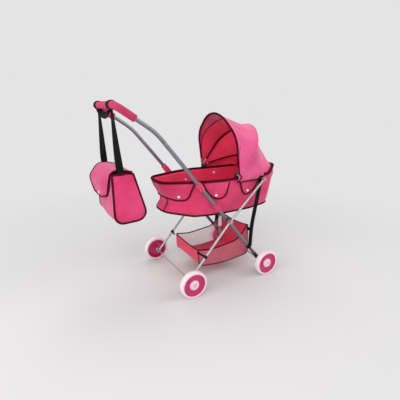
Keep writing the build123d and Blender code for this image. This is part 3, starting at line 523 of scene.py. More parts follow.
def cot_inside(v, u, row, column):
    """Inner cloth, a little slack, then the padded floor."""
    step = column % RING
    if row < len(LINING_ROWS):
        share = LINING_ROWS[row]
        point = cot_skin(share, step, -LINING_IN - LINING_SLACK * hump(share) ** 2)
        slack = LINING_RUCK * ruck(point.x / 40, point.y / 40, point.z / 40 + 20)
        push = outward(step, share) * slack * hump(share)
        return at(point.x + push.x, point.y + push.y, point.z)
    inset = FLOOR_ROWS[row - len(LINING_ROWS)]
    x, y = floor_spot(FLOOR_SHARE, step, -FLOOR_IN, inset)
    lift = FLOOR_LIFT + FLOOR_CROWN * (1 - inset ** 4)
    return at(x, y, underside(x) + lift + FLOOR_RUCK * ruck(x / 30, y / 30, 3))


lining = sheet_piece(
    "cot_lining", len(LINING_ROWS) + len(FLOOR_ROWS) - 1, RING, cot_inside, cot_lining,
    thick=0.001, ring=True, offset=-1,
)
fit("frame", "cot_fabric", lining)
dress(moulded("board_grey_card", (0.5, 0.48, 0.46), 0.8, 300), "base_board")

# Rim binding and base piping: dark maroon tape folded over the rim and over the raised head end,
# and a corded seam of the same tape where the sides meet the base.
binding_tape = cloth(
    "maroon_binding", (0.1, 0.002, 0.012), (0.06, 0.001, 0.007), 320, 60, 0.2, 0.0, 0.08
)
RIM_TAPE, RIM_RUCK, BASE_CORD = 0.0043, 0.5, 0.0032
BASE_SEAM_SHARE, BASE_SEAM_IN = 0.985, 1.2


def piping(name, points, radius, body=None, closed=False, finish=binding_tape):
    """Corded edge sewn into a seam: a round cord along smooth points, on a body if one is given."""
    curve = bpy.data.curves.new(name, "CURVE")
    curve.dimensions = "3D"
    curve.bevel_depth = radius
    curve.bevel_resolution = 3
    curve.use_fill_caps = not closed
    line = curve.splines.new("POLY")
    line.points.add(len(points) - 1)
    for spot, point in zip(line.points, points):
        spot.co = (*point, 1)
    line.use_cyclic_u = closed
    cord = bpy.data.objects.new(name, curve)
    bpy.context.scene.collection.objects.link(cord)
    bpy.ops.object.select_all(action="DESELECT")
    cord.select_set(True)
    bpy.context.view_layer.objects.active = cord
    bpy.ops.object.convert(target="MESH")
    cord = bpy.context.object
    bpy.ops.object.shade_smooth()
    cord.data.materials.append(finish)
    if body:
        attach(cord, body)
    return cord


rim_points = []
for step in range(RING):
    plan = on_plan(step, 0.0)
    rim_top = RIM_Z + HEAD_RISE * head_share(plan.x) + RIM_RUCK * ruck(plan.x / 25, plan.y / 25, 0)
    rim_points.append(at(plan.x, plan.y, rim_top))
rim_tape = piping("cot_rim_tape", rim_points, RIM_TAPE, "frame", True)
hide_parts("cot_rim_binding")
base_points = [at(*cot_skin(BASE_SEAM_SHARE, step, -BASE_SEAM_IN)) for step in range(RING)]
piping("cot_base_piping", base_points, BASE_CORD, "frame", True)

# Snap flaps: rounded tongues of the same cloth, sewn under the rim binding and edged with the
# dark tape. A press stud holds each to the cot's side. Each has its stud's place, the share of
# its cut's rectangle that it fills, and its hem, by distance along the rim and height.
SIDES = (("near", -1), ("far", 1))
SNAP_FLAPS = {
    "foot": ((99, 310.4), 0.89, [
        (0, 306), (25, 306), (50, 303), (70, 297.5), (92, 295.5),
        (112, 299), (125, 310), (133, 327), (145, 351),
    ]),
    "middle": ((222, 308.4), 0.81, [
        (174, 351), (184, 329), (197, 312), (211, 302), (226, 296),
        (241, 297), (253, 304), (260, 319), (264, 351),
    ]),
    "head": ((351, 308.4), 0.76, [
        (308, 351), (314, 338), (327, 312), (343, 297), (356, 296.5),
        (369, 302), (381, 313), (389, 330), (395, 351),
    ]),
}
FLAP_COLUMNS, FLAP_ROWS = 40, 20
FLAP_TOP, FLAP_DROP = 351.5, 0.054
FLAP_PROUD, FLAP_PUFF, FLAP_RUCK = 2.3, 0.8, 0.4
STUD_PROUD, STUD_SPREAD = 1.5, 90
TAPE_PROUD, FLAP_TAPE = 2.6, 0.0028
STEP_LENGTH = sum((a - b).length for a, b in zip(plans[0], plans[0][1:] + plans[0][:1])) / RING


def on_side(along, z, grow, side):
    """Point outside the cot's wall, by height and by distance along the rim from the foot's tip."""
    share = (RIM_Z - z) / COT_DEPTH
    step = math.floor(along / STEP_LENGTH)
    part = along / STEP_LENGTH - step
    spot = on_plan(step, share).lerp(on_plan(step + 1, share), part)
    spot = spot + outward(step, share).lerp(outward(step + 1, share), part) * grow
    return at(spot.x, -side * spot.y, z)


def smooth_line(points, count):
    """Evenly spread points on a smooth curve through the given ones."""
    curve = []
    last = len(points) - 1
    for i in range(count):
        s = last * i / (count - 1)
        k = min(int(s), last - 1)
        t = s - k
        p0, p1, p2, p3 = (Vector(points[min(max(j, 0), last)]) for j in (k - 1, k, k + 1, k + 2))
        curve.append(0.5 * (2 * p1 + (p2 - p0) * t + (2 * p0 - 5 * p1 + 4 * p2 - p3) * t * t
                            + (3 * p1 - p0 - 3 * p2 + p3) * t ** 3))
    return curve


for side_name, side in SIDES:
    for flap_name, ((stud_along, stud_z), cut_share, edge) in SNAP_FLAPS.items():
        flap_label = f"{side_name}_{flap_name}_flap"
        hem = smooth_line(edge, FLAP_COLUMNS + 1)
        start, end = edge[0][0], edge[-1][0]

        def flap_place(v, u, row, column):
            """Tongue from under the binding down to its hem, pinched in at its stud."""
            low = hem[column]
            along = start + (end - start) * u
            along = along + (low.x - along) * v
            z = FLAP_TOP + (low.y - FLAP_TOP) * v
            puff = FLAP_PROUD + FLAP_PUFF * hump(v)
            puff += FLAP_RUCK * ruck(along / 20, z / 20, side)
            pinch = math.exp(-((along - stud_along) ** 2 + (z - stud_z) ** 2) / STUD_SPREAD)
            puff += (STUD_PROUD - puff) * pinch
            return on_side(along, z, puff, side)

        flap = sheet_piece(
            f"{flap_label}_cloth", FLAP_ROWS, FLAP_COLUMNS, flap_place, cot_pink, thick=0.0012
        )
        width = (end - start) / 1000
        fit("frame", "cot_fabric", flap)
        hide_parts(flap_label)
        hem_points = [on_side(p.x, p.y, TAPE_PROUD, side) for p in smooth_line(edge, 2 * FLAP_COLUMNS)]
        piping(f"{flap_label}_tape", hem_points, FLAP_TAPE, "frame")

# Foot corners: the cloth of the sides meets that of the foot in a short corded seam each side.
# It runs from under the foot flap down to the base piping and leans towards the tip.
CORNER_ALONG, CORNER_LEAN = 38, 0.12
CORNER_PROUD, CORNER_CORD = 0.9, 0.0014
CORNER_HEIGHTS = [302, 292, 282, 273, 265, 259]
for side_name, side in SIDES:
    seam_points = []
    for z in CORNER_HEIGHTS:
        along = CORNER_ALONG - CORNER_LEAN * (CORNER_HEIGHTS[0] - z)
        seam_points.append(on_side(along, z, CORNER_PROUD, side))
    piping(f"{side_name}_foot_corner_seam", seam_points, CORNER_CORD, "frame")

# Hood: lighter pink cloth outside and red lining inside, stretched over three bent wires that
# turn on one rivet each side, in two gores that meet on the middle wire. Its skirt hangs outside
# the cot's rim at the sides and is tucked inside the raised head wall. Wires by angle in degrees.
HOOD_X, HOOD_Z = 190.0, 370.0
FRONT, MIDDLE, REAR = 97.0, 52.0, 14.0
ARCH, GORE_ROWS, SKIRT_ROWS = 72, 16, 6
BOW_HALVES = {"rear": 112.4, "mid": 115.6, "front": 118.8}
FULL_BOW, REAR_BOW, BOW_ROUND = (2, 124, 228, 108), (-14, 104, 218, 60), 80
CLOTH_PROUD = 2.4
CROWN_RADIUS, HEART_DRAW, WRINKLE = 185, 0.6, 2.0
VALLEY, HOLLOW = 8.0, 9.0
HEM_START, HEM_OUT, HEM_DROP = 294.0, 5.4, 12
TUCK_X, TUCK_REACH, TUCK_INSIDE, TUCK_BELOW, TUCK_ARC = 296, 36, 10.4, 3, 13
SKIRT_HEART_X, SKIRT_SPREAD, SKIRT_FULL, SKIRT_RIPPLE = 240, 1.6, 3.0, 1.4
hood_pink = cloth("hood_pink_polyester", (0.88, 0.125, 0.33), (0.74, 0.06, 0.2), 260, 30, 0.45)
hood_lining = cloth("hood_red_lining", (0.98, 0.06, 0.165), (0.9, 0.042, 0.125), 260, 30, 0.3)


def hood_arch(half, rear=False, proud=0.0, count=ARCH + 1):
    """Shape of one arch: distance across the pram and radius from the hood's rivets."""
    lean, reach, peak, top = REAR_BOW if rear else FULL_BOW
    half, shoulder = half + proud, half + lean + proud
    points = [(-half, 0), (-shoulder, reach), (0, peak + 1.3 * proud), (shoulder, reach), (half, 0)]
    return rounded(points, [0, BOW_ROUND + proud, top + proud, BOW_ROUND + proud, 0], count)


def fan(y, radius, angle):
    """Point at a distance across and a radius, at an angle about the hood's rivets."""
    turn = math.radians(angle)
    return Vector((HOOD_X + radius * math.cos(turn), y, HOOD_Z + radius * math.sin(turn)))


full_arch = hood_arch(BOW_HALVES["front"], False, CLOTH_PROUD)
rear_arch = hood_arch(BOW_HALVES["front"], True, CLOTH_PROUD)


def inward(point):
    """Direction into the hood, towards the line between its rivets."""
    return (Vector((HOOD_X, point.y * HEART_DRAW, HOOD_Z)) - point).normalized()


def stretched(column, low, high, share, sag):
    """Point of the cloth drawn between two arches, each given by its shape and its angle."""
    (low_arch, low_angle), (high_arch, high_angle) = low, high
    a, b = low_arch[column], high_arch[column]
    point = fan(a.x, a.y, low_angle).lerp(fan(b.x, b.y, high_angle), share)
    crown = min(1.0, a.y / CROWN_RADIUS) ** 3
    wrinkle = WRINKLE * ruck(column / 3.4, share * 1.6 + low_angle, 4)
    return point + inward(point) * crown * (sag + wrinkle * hump(share))


def front_skin(column, share):
    """Outer face of the front half, with a slack crease near the middle wire."""
    sag = VALLEY * hump(share ** 0.6)
    return stretched(column, (full_arch, MIDDLE), (full_arch, FRONT), share, sag)


def front_gore(v, u, row, column):
    """Front half, from the middle wire to the front edge."""
    return at(*front_skin(column, v))


def hem_spot(u):
    """Skirt's hem: hangs outside the rim along the sides and is tucked inside the head wall."""
    step = (HEM_START + (RING * STEP_LENGTH - 2 * HEM_START) * u) / STEP_LENGTH
    k = math.floor(step)
    spot = on_plan(k, 0.0).lerp(on_plan(k + 1, 0.0), step - k)
    tucked = eased((spot.x - TUCK_X) / TUCK_REACH)
    spot = spot + outward(k, 0.0) * (HEM_OUT - TUCK_INSIDE * tucked)
    head_top = RIM_Z + HEAD_RISE * head_share(spot.x) - TUCK_BELOW
    z = (RIM_Z - HEM_DROP) * (1 - tucked) + head_top * tucked + TUCK_ARC * hump(tucked)
    return Vector((spot.x, spot.y, z))


def rear_gore(v, u, row, column):
    """Rear half: middle wire to rear wire, hollow between them, then the skirt down to its hem."""
    if row <= GORE_ROWS:
        w = row / GORE_ROWS
        sag = HOLLOW * hump(w ** 0.8)
        return at(*stretched(column, (full_arch, MIDDLE), (rear_arch, REAR), w, sag))
    share = (row - GORE_ROWS) / SKIRT_ROWS
    spot = fan(rear_arch[column].x, rear_arch[column].y, REAR).lerp(hem_spot(u), share)
    away = Vector((spot.x - SKIRT_HEART_X, spot.y * SKIRT_SPREAD, 0)).normalized()
    ripple = SKIRT_RIPPLE * ruck(column / 1.6, share, 9) * share
    return at(*(spot + away * (SKIRT_FULL * hump(share) + ripple)))


def hood_sheet(name, rows, place):
    """Hood cloth with its lining: one sheet that shows another cloth on its inner face."""
    piece = sheet_piece(name, rows, ARCH, place, hood_pink)
    heart = at(HOOD_X + 40, 0, HOOD_Z)
    lean = sum((p.center - heart).dot(p.normal) for p in piece.data.polygons)
    if lean < 0:
        edit_all(bpy.ops.mesh.flip_normals)
    piece.data.materials.append(hood_lining)
    apply_modifier(piece, "SOLIDIFY", thickness=0.0011, offset=-1, material_offset=1)
    return piece


front_cloth = hood_sheet("hood_front_cloth", GORE_ROWS, front_gore)
rear_cloth = hood_sheet("hood_rear_cloth", GORE_ROWS + SKIRT_ROWS, rear_gore)
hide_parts("hood_front_gore")
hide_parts("hood_rear_gore")
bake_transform(front_cloth)
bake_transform(rear_cloth)

# Hood edging and sleeves: dark corded piping along the front edge and round the skirt, a pink
# welt over the middle wire, and narrow dark sleeves inside, which hold the wires.
FRONT_CORD, SKIRT_CORD, WELT_CORD = 0.0026, 0.0022, 0.0012
SLEEVE_CORD, SLEEVE_STEPS, SLEEVE_STOP, WELT_STOP = 0.0027, 61, 3, 2
edge_points = [at(*fan(p.x, p.y, FRONT)) for p in full_arch]
front_edge = piping("hood_front_piping", edge_points, FRONT_CORD)
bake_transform(front_edge)
skirt_points = [rear_gore(1, c / ARCH, GORE_ROWS + SKIRT_ROWS, c) for c in range(ARCH + 1)]
corner_near = [at(190, -121.6, 373), at(195, -122.2, 369), at(199, -122.2, 363), at(193, -120.5, 354)]
corner_far = [Vector((p.x, -p.y, p.z)) for p in reversed(corner_near)]
skirt_edge = piping("hood_skirt_piping", corner_near + skirt_points + corner_far, SKIRT_CORD)
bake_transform(skirt_edge)
for bow_name, angle, body in (
    ("rear", REAR, "frame"), ("mid", MIDDLE, "hood_mid"), ("front", FRONT, "hood_front")
):
    wire = hood_arch(BOW_HALVES[bow_name], bow_name == "rear", -1.0, SLEEVE_STEPS)
    sleeve_points = [at(*fan(p.x, p.y, angle)) for p in wire[SLEEVE_STOP:-SLEEVE_STOP]]
    piping(f"hood_{bow_name}_sleeve", sleeve_points, SLEEVE_CORD, body)
welt_points = [at(*fan(p.x, p.y, MIDDLE)) for p in full_arch[WELT_STOP:-WELT_STOP]]
piping("hood_middle_welt", welt_points, WELT_CORD, "hood_mid", False, hood_pink)

# Hood facing: a crescent of dusky pink cloth sewn inside the front edge, widest at the top, with
# a fine dark seam along its inner edge. Widths are shares of the front gore.
facing_pink = cloth("hood_facing_cloth", (0.66, 0.09, 0.2), (0.54, 0.065, 0.15))
FACING_ROWS, FACING_DEPTH, FACING_INSET = 6, 2.2, 0.012
FACING_END, FACING_CREST = 0.02, 0.29
FACING_CORD, FACING_STOP = 0.0014, 6


def facing_place(v, u, row, column):
    """Crescent inside the front edge, a little under the outer cloth."""
    width = FACING_END + FACING_CREST * hump(u) ** 1.5
    spot = front_skin(column, 1 - FACING_INSET - width * v)
    return at(*(spot + inward(spot) * FACING_DEPTH))


facing = sheet_piece("hood_front_facing", FACING_ROWS, ARCH, facing_place, facing_pink, thick=0.0008)
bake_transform(facing)
seam_columns = range(FACING_STOP, ARCH + 1 - FACING_STOP)
seam_points = [facing_place(1.0, c / ARCH, FACING_ROWS, c) for c in seam_columns]
facing_seam = piping("hood_facing_seam", seam_points, FACING_CORD)
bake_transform(facing_seam)

# Webbing: black woven straps from the leg sockets past the basket's front corners to loops on
# the front legs, tabs from those straps to the basket's front corners, and loops that hang its
# rear corners on the rear legs. Straps by width and thickness, loops by bore, length, thickness.
black_webbing = cloth(
    "black_webbing", (0.006, 0.006, 0.007), (0.003, 0.003, 0.004), 150, 20, 0.1, 0.0, 0.1
)
AXLE_Z, FRONT_AXLE_X = 45, 298
CROSS_X, CROSS_Z = 154.982, 219.733
LEG_TOP = (290.092, 347.5)
TUBE_Y, REAR_LEG_Y, STRAP_Y = 105, 128, 112.1
STRAP_STEPS, STRAP_FOOT_Z, HOOK_Z = 25, 100, 113.0
STRAP_SIZE, HOOK_TAB_SIZE, FRONT_TAB_SIZE = (0.017, 0.0014), (0.007, 0.0012), (0.013, 0.0014)
STRAP_EYE, STRAP_LOOP = (0.0063, 0.003, 0.0032), (0.0062, 0.014, 0.0013)
HOOK_LOOP = (0.0042, 0.01, 0.0012)
TAB_SHARES = (0, 0.25, 0.5, 0.75, 1)
HOOK_TAB_RUN, FRONT_TAB_START, FRONT_TAB_RUN = (10, 36, -3), (259, 87.5, 160), (3, 24, 6)
TILT = math.radians(50.7)
tube_way = Vector((-math.cos(TILT), 0, math.sin(TILT)))
leg_way = Vector((CROSS_X, 0, CROSS_Z - AXLE_Z)).normalized()
hook_x = (HOOK_Z - AXLE_Z) / math.tan(math.atan2(CROSS_Z - AXLE_Z, CROSS_X))
hook_tab_start = (hook_x - HOOK_TAB_RUN[0], 88, HOOK_Z - HOOK_TAB_RUN[2])
sideways, upright = Vector((0, 1, 0)), Vector((0, 0, 1))


def band(name, points, across, width, thick, finish=black_webbing):
    """Flat strap along points; across gives its width direction at each point."""
    def strap_place(v, u, row, column):
        return points[row] + across[row] * (width * (u - 0.5))

    strap = sheet_piece(name, len(points) - 1, 6, strap_place, finish, thick)
    apply_modifier(strap, "BEVEL", width=thick * 0.35, segments=2, limit_method="ANGLE")
    return strap


def sleeve(name, centre, direction, inner, length, thick, finish=black_webbing):
    """Loop of cloth or webbing sewn round a tube, a little full in its middle."""
    bpy.ops.object.select_all(action="DESELECT")
    turn = direction.to_track_quat("Z", "Y").to_euler()
    bpy.ops.mesh.primitive_cylinder_add(
        vertices=40, radius=inner, depth=length, end_fill_type="NOTHING", location=centre, rotation=turn
    )
    loop = bpy.context.object
    loop.name = name
    edit_all(bpy.ops.mesh.subdivide, number_cuts=2)
    bpy.ops.object.transform_apply(location=True, rotation=True, scale=True)
    for vertex in loop.data.vertices:
        away = vertex.co - centre
        along = away.dot(direction) / (length / 2)
        radial = away - direction * away.dot(direction)
        vertex.co += radial.normalized() * thick * 0.25 * (1 - along * along)
    apply_modifier(loop, "SOLIDIFY", thickness=thick, offset=1)
    bpy.ops.object.shade_smooth_by_angle(angle=math.radians(40))
    loop.data.materials.append(finish)
    return loop


def tube_at(z, y):
    """Point on a front leg at a height."""
    return at(FRONT_AXLE_X - (z - AXLE_Z) / math.tan(TILT), y, z)


def corner_tab(name, start, run, side, way, size):
    """Short tab from a corner of the basket outwards, given by its start and its run."""
    points = []
    for t in TAB_SHARES:
        x, y, z = (begin + step * t for begin, step in zip(start, run))
        points.append(at(x, side * y, z))
    return band(name, points, [way] * len(points), *size)


for side_name, side in SIDES:
    foot = tube_at(STRAP_FOOT_Z, side * TUBE_Y)
    strap_foot = (foot.x * 1000 + CENTRE + 2, STRAP_FOOT_Z)
    line = smooth_line([LEG_TOP, (276, 274), (260, 186), (256.5, 140), strap_foot], STRAP_STEPS)
    ways = [line[min(k + 1, STRAP_STEPS - 1)] - line[max(k - 1, 0)] for k in range(STRAP_STEPS)]
    across = [Vector((w.y, 0, -w.x)).normalized() for w in ways]
    strap_points = [at(p.x, side * STRAP_Y, p.y) for p in line]
    strap = band(f"{side_name}_hanger_webbing", strap_points, across, *STRAP_SIZE)
    eye_spot = at(LEG_TOP[0], side * STRAP_Y, LEG_TOP[1])
    eye = sleeve(f"{side_name}_hanger_eye", eye_spot, sideways, *STRAP_EYE)
    loop = sleeve(f"{side_name}_hanger_loop", foot, tube_way, *STRAP_LOOP)
    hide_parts("hanger_straps")

    hook_spot = at(hook_x, side * REAR_LEG_Y, HOOK_Z)
    hook = sleeve(f"{side_name}_rear_hook", hook_spot, leg_way, *HOOK_LOOP)
    hook_tab = corner_tab(
        f"{side_name}_rear_hook_tab", hook_tab_start, HOOK_TAB_RUN, side, leg_way, HOOK_TAB_SIZE
    )
    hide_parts("basket_rear_hooks")
    front_tab = corner_tab(
        f"{side_name}_front_tab", FRONT_TAB_START, FRONT_TAB_RUN, side, upright, FRONT_TAB_SIZE
    )
    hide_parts("basket_front_tabs")
    fit("frame", "webbing", strap, eye, loop, front_tab)
    fit("rear_legs", "webbing", hook, hook_tab)

# Cot loops: pink cloth sleeves round the front legs, each sewn to the cot's side by a short tab.
# The far upper one has slid up its leg and bunched. Each has its tab's height, how far it has slid
# up, its length and its thickness.
LOWER_LOOP = ("lower", 268.0, 0.0, 0.026, 0.002)
COT_LOOPS = {
    "near": (("upper", 337.0, 8.0, 0.028, 0.0026), LOWER_LOOP),
    "far": (("upper", 337.0, 28.0, 0.048, 0.0034), LOWER_LOOP),
}
LOOP_BORE, LOOP_TAB_SIZE = 0.0062, (0.022, 0.0022)
LOOP_TAB_END, LOOP_TAB_SHARES = 100, (0, 0.3, 0.6, 1)


def side_half(x, z, grow):
    """Distance of the cot's side from the middle at a place along it and a height."""
    share = (RIM_Z - z) / COT_DEPTH
    best = 0.0
    for step in range(RING // 2):
        a, b = on_plan(step, share), on_plan(step + 1, share)
        low_x, high_x = min(a.x, b.x), max(a.x, b.x)
        if a.y <= 0 and low_x - 1e-6 <= x <= high_x + 1e-6 and high_x - low_x > 1e-6:
            t = (x - a.x) / (b.x - a.x)
            best = max(best, -(a.y + (b.y - a.y) * t))
    return best + grow


for side_name, side in SIDES:
    for loop_name, z, slid, length, thick in COT_LOOPS[side_name]:
        loop_spot = tube_at(z + slid, side * TUBE_Y)
        cot_loop = sleeve(
            f"{side_name}_{loop_name}_cot_loop", loop_spot, tube_way, LOOP_BORE, length, thick, cot_pink
        )
        wall_x = tube_at(z, side * TUBE_Y).x * 1000 + CENTRE
        wall = side_half(wall_x, z, 1.0)
        tab_points = [at(wall_x, side * (wall + (LOOP_TAB_END - wall) * t), z) for t in LOOP_TAB_SHARES]
        ways = [tube_way] * len(tab_points)
        loop_tab = band(
            f"{side_name}_{loop_name}_cot_loop_tab", tab_points, ways, *LOOP_TAB_SIZE, cot_pink
        )
        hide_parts("tube_loops")
        fit("frame", "cot_fabric", cot_loop, loop_tab)

# Basket: a sling of red-pink cloth with net sides, bound with the dark tape all round. Its front
# corners hang on the webbing and its rear corners on the rear legs.
basket_red = cloth("basket_red_cloth", (0.76, 0.035, 0.1), (0.62, 0.022, 0.07))
net_pink = cloth("basket_pink_net", (0.86, 0.36, 0.45), (0.8, 0.28, 0.38))
SLING_ROWS, SLING_COLUMNS = 48, 28
NET_ROWS, NET_COLUMNS = 20, 66
NET_Y, NET_BULGE, NET_THREAD = 84.2, 1.6, 0.0009
REAR_DROP, REAR_DROP_ROWS = 7.0, 7
FRONT_DROP, FRONT_DROP_ROWS = 6.0, 9
SLING_SAG, SLING_DRAW, SLING_RUCK = 2.0, 3.0, 0.9
RIM_Y, RIM_CORD, SEAM_CORD, HEM_CORD = 84.4, 0.0022, 0.0017, 0.0018
RIM_PATH = [(58, 120), (109.5, 112), (218.7, 124), (264, 174)]
RIM_ROUNDS, RIM_POINTS, NET_BELOW = [0, 120, 60, 0], 41, 2
sling_line = rounded(
    [(58, 119), (60, 60), (161, 49), (268, 60), (264, 173)], [0, 16, 400, 16, 0], SLING_ROWS + 1
)
rim_line = rounded(RIM_PATH, RIM_ROUNDS, RIM_POINTS)
net_top = rounded([(x, z - NET_BELOW) for x, z in RIM_PATH], RIM_ROUNDS, NET_COLUMNS + 1)
net_foot = rounded([(60, 61), (161, 50), (267, 61)], [0, 400, 0], NET_COLUMNS + 1)


def sling_place(v, u, row, column):
    """Cloth tray: sides drawn in at its free edges, floor hanging slack."""
    x, z = sling_line[row]
    y = -NET_Y + 2 * NET_Y * u
    middle = 1 - (y / NET_Y) ** 2
    belly = math.sin(math.pi * row / SLING_ROWS)
    rear_drop = REAR_DROP * middle * max(0.0, 1 - row / REAR_DROP_ROWS)
    front_rows = max(0.0, (row - SLING_ROWS + FRONT_DROP_ROWS) / FRONT_DROP_ROWS)
    z -= rear_drop + FRONT_DROP * middle * front_rows + SLING_SAG * middle * belly
    x += SLING_DRAW * middle * (1 if row < SLING_ROWS / 2 else -1) * (1 - belly)
    z += SLING_RUCK * ruck(x / 22, y / 22, 5)
    return at(x, y, z)


sling = sheet_piece("basket_sling", SLING_ROWS, SLING_COLUMNS, sling_place, basket_red, thick=0.0011)
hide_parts("basket_tray")
basket_pieces = [sling]
for side_name, side in SIDES:
    def net_place(v, u, row, column):
        """Net from the floor's edge up to the rim, pushed out a little."""
        spot = net_foot[column].lerp(net_top[column], v)
        return at(spot.x, side * (NET_Y + NET_BULGE * hump(v)), spot.y)

    net = sheet_piece(f"{side_name}_basket_mesh", NET_ROWS, NET_COLUMNS, net_place, net_pink)
    apply_modifier(net, "WIREFRAME", thickness=NET_THREAD, use_even_offset=False)
    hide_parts(f"{side_name}_basket_net")
    top_points = [at(p.x, side * RIM_Y, p.y) for p in rim_line]
    top_cord = piping(f"{side_name}_basket_rim", top_points, RIM_CORD)
    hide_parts("basket_rim_piping")
    low_points = [at(p.x, side * NET_Y, p.y) for p in sling_line]
    low_cord = piping(f"{side_name}_basket_base_seam", low_points, SEAM_CORD)
    basket_pieces += [net, top_cord, low_cord]
for hem_name, row in (("rear", 0), ("front", SLING_ROWS)):
    hem_points = [sling_place(0, c / SLING_COLUMNS, row, c) for c in range(SLING_COLUMNS + 1)]
    basket_pieces.append(piping(f"basket_{hem_name}_hem", hem_points, HEM_CORD))
for piece in basket_pieces:
    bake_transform(piece)

# Handle bag: a soft shoulder bag. One wrap makes its front, base and back, and a gusset of its
# own pink closes each end, with a dark corded seam round it. The wrap is painted darker as shade.
bag_pink = cloth("bag_pink_polyester", (0.85, 0.06, 0.21), (0.66, 0.028, 0.125))
# Darker copy of the bag's own pink: painted shade, used for the wrap and the flap.
bag_shaded_pink = cloth("bag_polyester_painted_shade", (0.68, 0.042, 0.2), (0.53, 0.022, 0.125))
BAG_HALF, BAG_FRONT_X, BAG_BACK_X, BAG_MOUTH_Z = 87.0, -212, -152, 405
BAG_ROWS, BAG_PROFILE, GUSSET_ROWS = 30, 44, 10
BAG_FULL, BAG_RUCK, MOUTH_CROWN = 5.0, 1.2, 2.5
GUSSET_FULL, SEAM_PROUD, BAG_CORD = 4.5, 0.4, 0.0029
wrap_heart, gusset_heart = Vector((-168, 330)), Vector((-172, 345))
bag_profile = rounded(
    [(BAG_FRONT_X, BAG_MOUTH_Z), (-212, 262), (-113, 267), (BAG_BACK_X, BAG_MOUTH_Z)],
    [0, 25, 26, 0], BAG_PROFILE + 1,
)


def bag_place(v, u, row, column):
    """Wrap of the bag: front, base and back in one, full between its seams."""
    spot = bag_profile[column]
    y = -BAG_HALF + 2 * BAG_HALF * v
    full = 1 - (y / BAG_HALF) ** 2
    away = (spot - wrap_heart).normalized()
    low = hump(u)
    spot = spot + away * (BAG_FULL * full * low) + away * BAG_RUCK * ruck(u * 9, y / 30, 2)
    return at(spot.x, y, spot.y)


bag_wrap = sheet_piece("bag_wrap", BAG_ROWS, BAG_PROFILE, bag_place, bag_shaded_pink, thick=0.0014)
fit("bag", "bag_fabric", bag_wrap)
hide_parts("bag_body")
gusset_outline = list(bag_profile)
for t in (0.84, 0.68, 0.5, 0.32, 0.16):
    mouth_x = BAG_FRONT_X + (BAG_BACK_X - BAG_FRONT_X) * t
    gusset_outline.append(Vector((mouth_x, BAG_MOUTH_Z + MOUTH_CROWN * hump(t))))
for side_name, side in SIDES:
    def gusset_place(v, u, row, column):
        """End of the bag, from its seam in to its middle, slightly domed."""
        spot = gusset_outline[column % len(gusset_outline)]
        inside = gusset_heart + (spot - gusset_heart) * (1 - v)
        return at(inside.x, side * (BAG_HALF + GUSSET_FULL * (1 - (1 - v) ** 2)), inside.y)

    gusset = sheet_piece(
        f"{side_name}_bag_gusset", GUSSET_ROWS, len(gusset_outline), gusset_place, bag_pink,
        thick=0.0012, ring=True,
    )
    fit("bag", "bag_fabric", gusset)
    seam_points = [at(p.x, side * (BAG_HALF + SEAM_PROUD), p.y) for p in gusset_outline]
    piping(f"{side_name}_bag_seam", seam_points, BAG_CORD, "bag", True)

# Bag flap: a full tongue of the bag's pink, painted darker as shade like the wrap, sewn along the
# back of the mouth, folded over the front and edged with dark piping. Its near side lies closer to
# the bag and its far side flares.
BAG_FLAP_HALF, BAG_FLAP_ROWS, BAG_FLAP_COLUMNS = 79.0, 26, 30
NARROW_FROM, NARROW_RUN, NARROWING = 0.45, 0.55, 0.5
BACK_SAG, CORNER_UP = 1.0, 9.0
BAG_FLAP_PUFF, BAG_FLAP_RUCK, PUFF_X, PUFF_Z = 1.5, 0.9, 0.6, 0.7
HUG, HUG_X, FLARE = 0.85, -215.5, 7.0
BAG_FLAP_CORD = 0.0027
bag_flap_line = rounded(
    [(-152, 408.5), (-206, 420), (-236, 376), (-228, 331)], [0, 30, 30, 0], BAG_FLAP_ROWS + 1
)


def bag_flap_place(v, u, row, column):
    """Flap: hinged along the back of the mouth, full over the front, round at its corners."""
    spot = bag_flap_line[row]
    s = 2 * u - 1
    squeeze = max(0.0, (v - NARROW_FROM) / NARROW_RUN)
    y = s * BAG_FLAP_HALF * (1 - NARROWING * squeeze ** 1.7)
    lift = BAG_FLAP_PUFF * hump(v) * (1 - s * s)
    lift += BAG_FLAP_RUCK * ruck(spot.x / 25, y / 25, 6)
    x = spot.x - lift * PUFF_X
    hug = HUG * max(0.0, -s) ** 2 * max(0.0, HUG_X - x)
    flare = FLARE * max(0.0, s) ** 2 * v
    z = spot.y + lift * PUFF_Z + CORNER_UP * squeeze * s * s - BACK_SAG * (1 - s * s) * (1 - v)
    return at(x + hug - flare, y, z)


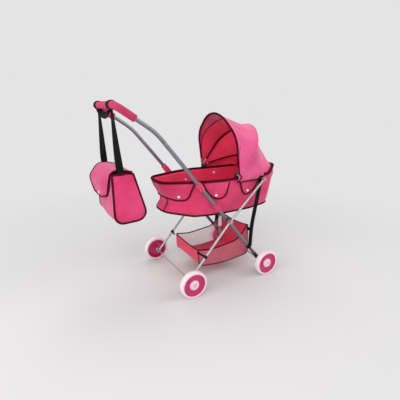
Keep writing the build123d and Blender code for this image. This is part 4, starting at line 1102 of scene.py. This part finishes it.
flap_cloth = sheet_piece(
    "bag_flap_cloth", BAG_FLAP_ROWS, BAG_FLAP_COLUMNS, bag_flap_place, bag_shaded_pink, thick=0.0016
)
fit("bag_flap", "bag_fabric", flap_cloth)
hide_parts("bag_flap")
edge_cells = [(r, 0) for r in range(BAG_FLAP_ROWS)]
edge_cells += [(BAG_FLAP_ROWS, c) for c in range(BAG_FLAP_COLUMNS + 1)]
edge_cells += [(r, BAG_FLAP_COLUMNS) for r in reversed(range(BAG_FLAP_ROWS))]
flap_edge = [bag_flap_place(r / BAG_FLAP_ROWS, c / BAG_FLAP_COLUMNS, r, c) for r, c in edge_cells]
piping("bag_flap_piping", flap_edge, BAG_FLAP_CORD, "bag_flap")

# Bag straps: two lengths of black webbing from loops round the push bar down to the ends of the
# bag, each with a quarter turn on its way, and a slack length between the two loops.
BAR_X, BAR_Z, BAR_LOOP_Y = -195.062, 588.0, 72
BAR_LOOP, BAG_STRAP_SIZE = (0.0108, 0.02, 0.0018), (0.02, 0.0017)
BAG_STRAP_STEPS, TURN_STEPS, STRAP_DRIFT = 28, 22, 8
SLACK_STEPS, SLACK_TURN = 32, 72
for side_name, side in SIDES:
    loop_spot = at(BAR_X, side * BAR_LOOP_Y, BAR_Z)
    grip_loop = sleeve(f"{side_name}_bag_grip_loop", loop_spot, sideways, *BAR_LOOP)
    strap_path = [(BAR_LOOP_Y, 577), (76, 520), (82, 460), (86, 425), (88.4, 403)]
    strap_line = smooth_line(strap_path, BAG_STRAP_STEPS + 1)
    strap_points, across = [], []
    for k, p in enumerate(strap_line):
        strap_points.append(at(BAR_X + STRAP_DRIFT * k / BAG_STRAP_STEPS, side * p.x, p.y))
        turn = math.radians(90) * min(1.0, k / TURN_STEPS) ** 1.3
        across.append(Vector((math.sin(turn), -math.cos(turn), 0)))
    strap = band(f"{side_name}_bag_webbing", strap_points, across, *BAG_STRAP_SIZE)
    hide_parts(f"{side_name}_bag_strap")
    fit("bag", "webbing", grip_loop, strap)
slack_path = [(-62, 575.5), (-40, 565), (0, 560.5), (40, 565), (62, 575.5)]
slack_points, across = [], []
for k, p in enumerate(smooth_line(slack_path, SLACK_STEPS + 1)):
    slack_points.append(at(BAR_X, p.x, p.y))
    turn = math.radians(SLACK_TURN) * math.sin(math.pi * k / SLACK_STEPS) ** 0.25
    across.append(Vector((math.cos(turn), 0, math.sin(turn))))
slack = band("bag_slack_webbing", slack_points, across, *BAG_STRAP_SIZE)
fit("bag", "webbing", slack)
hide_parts("bag_slack_strap")
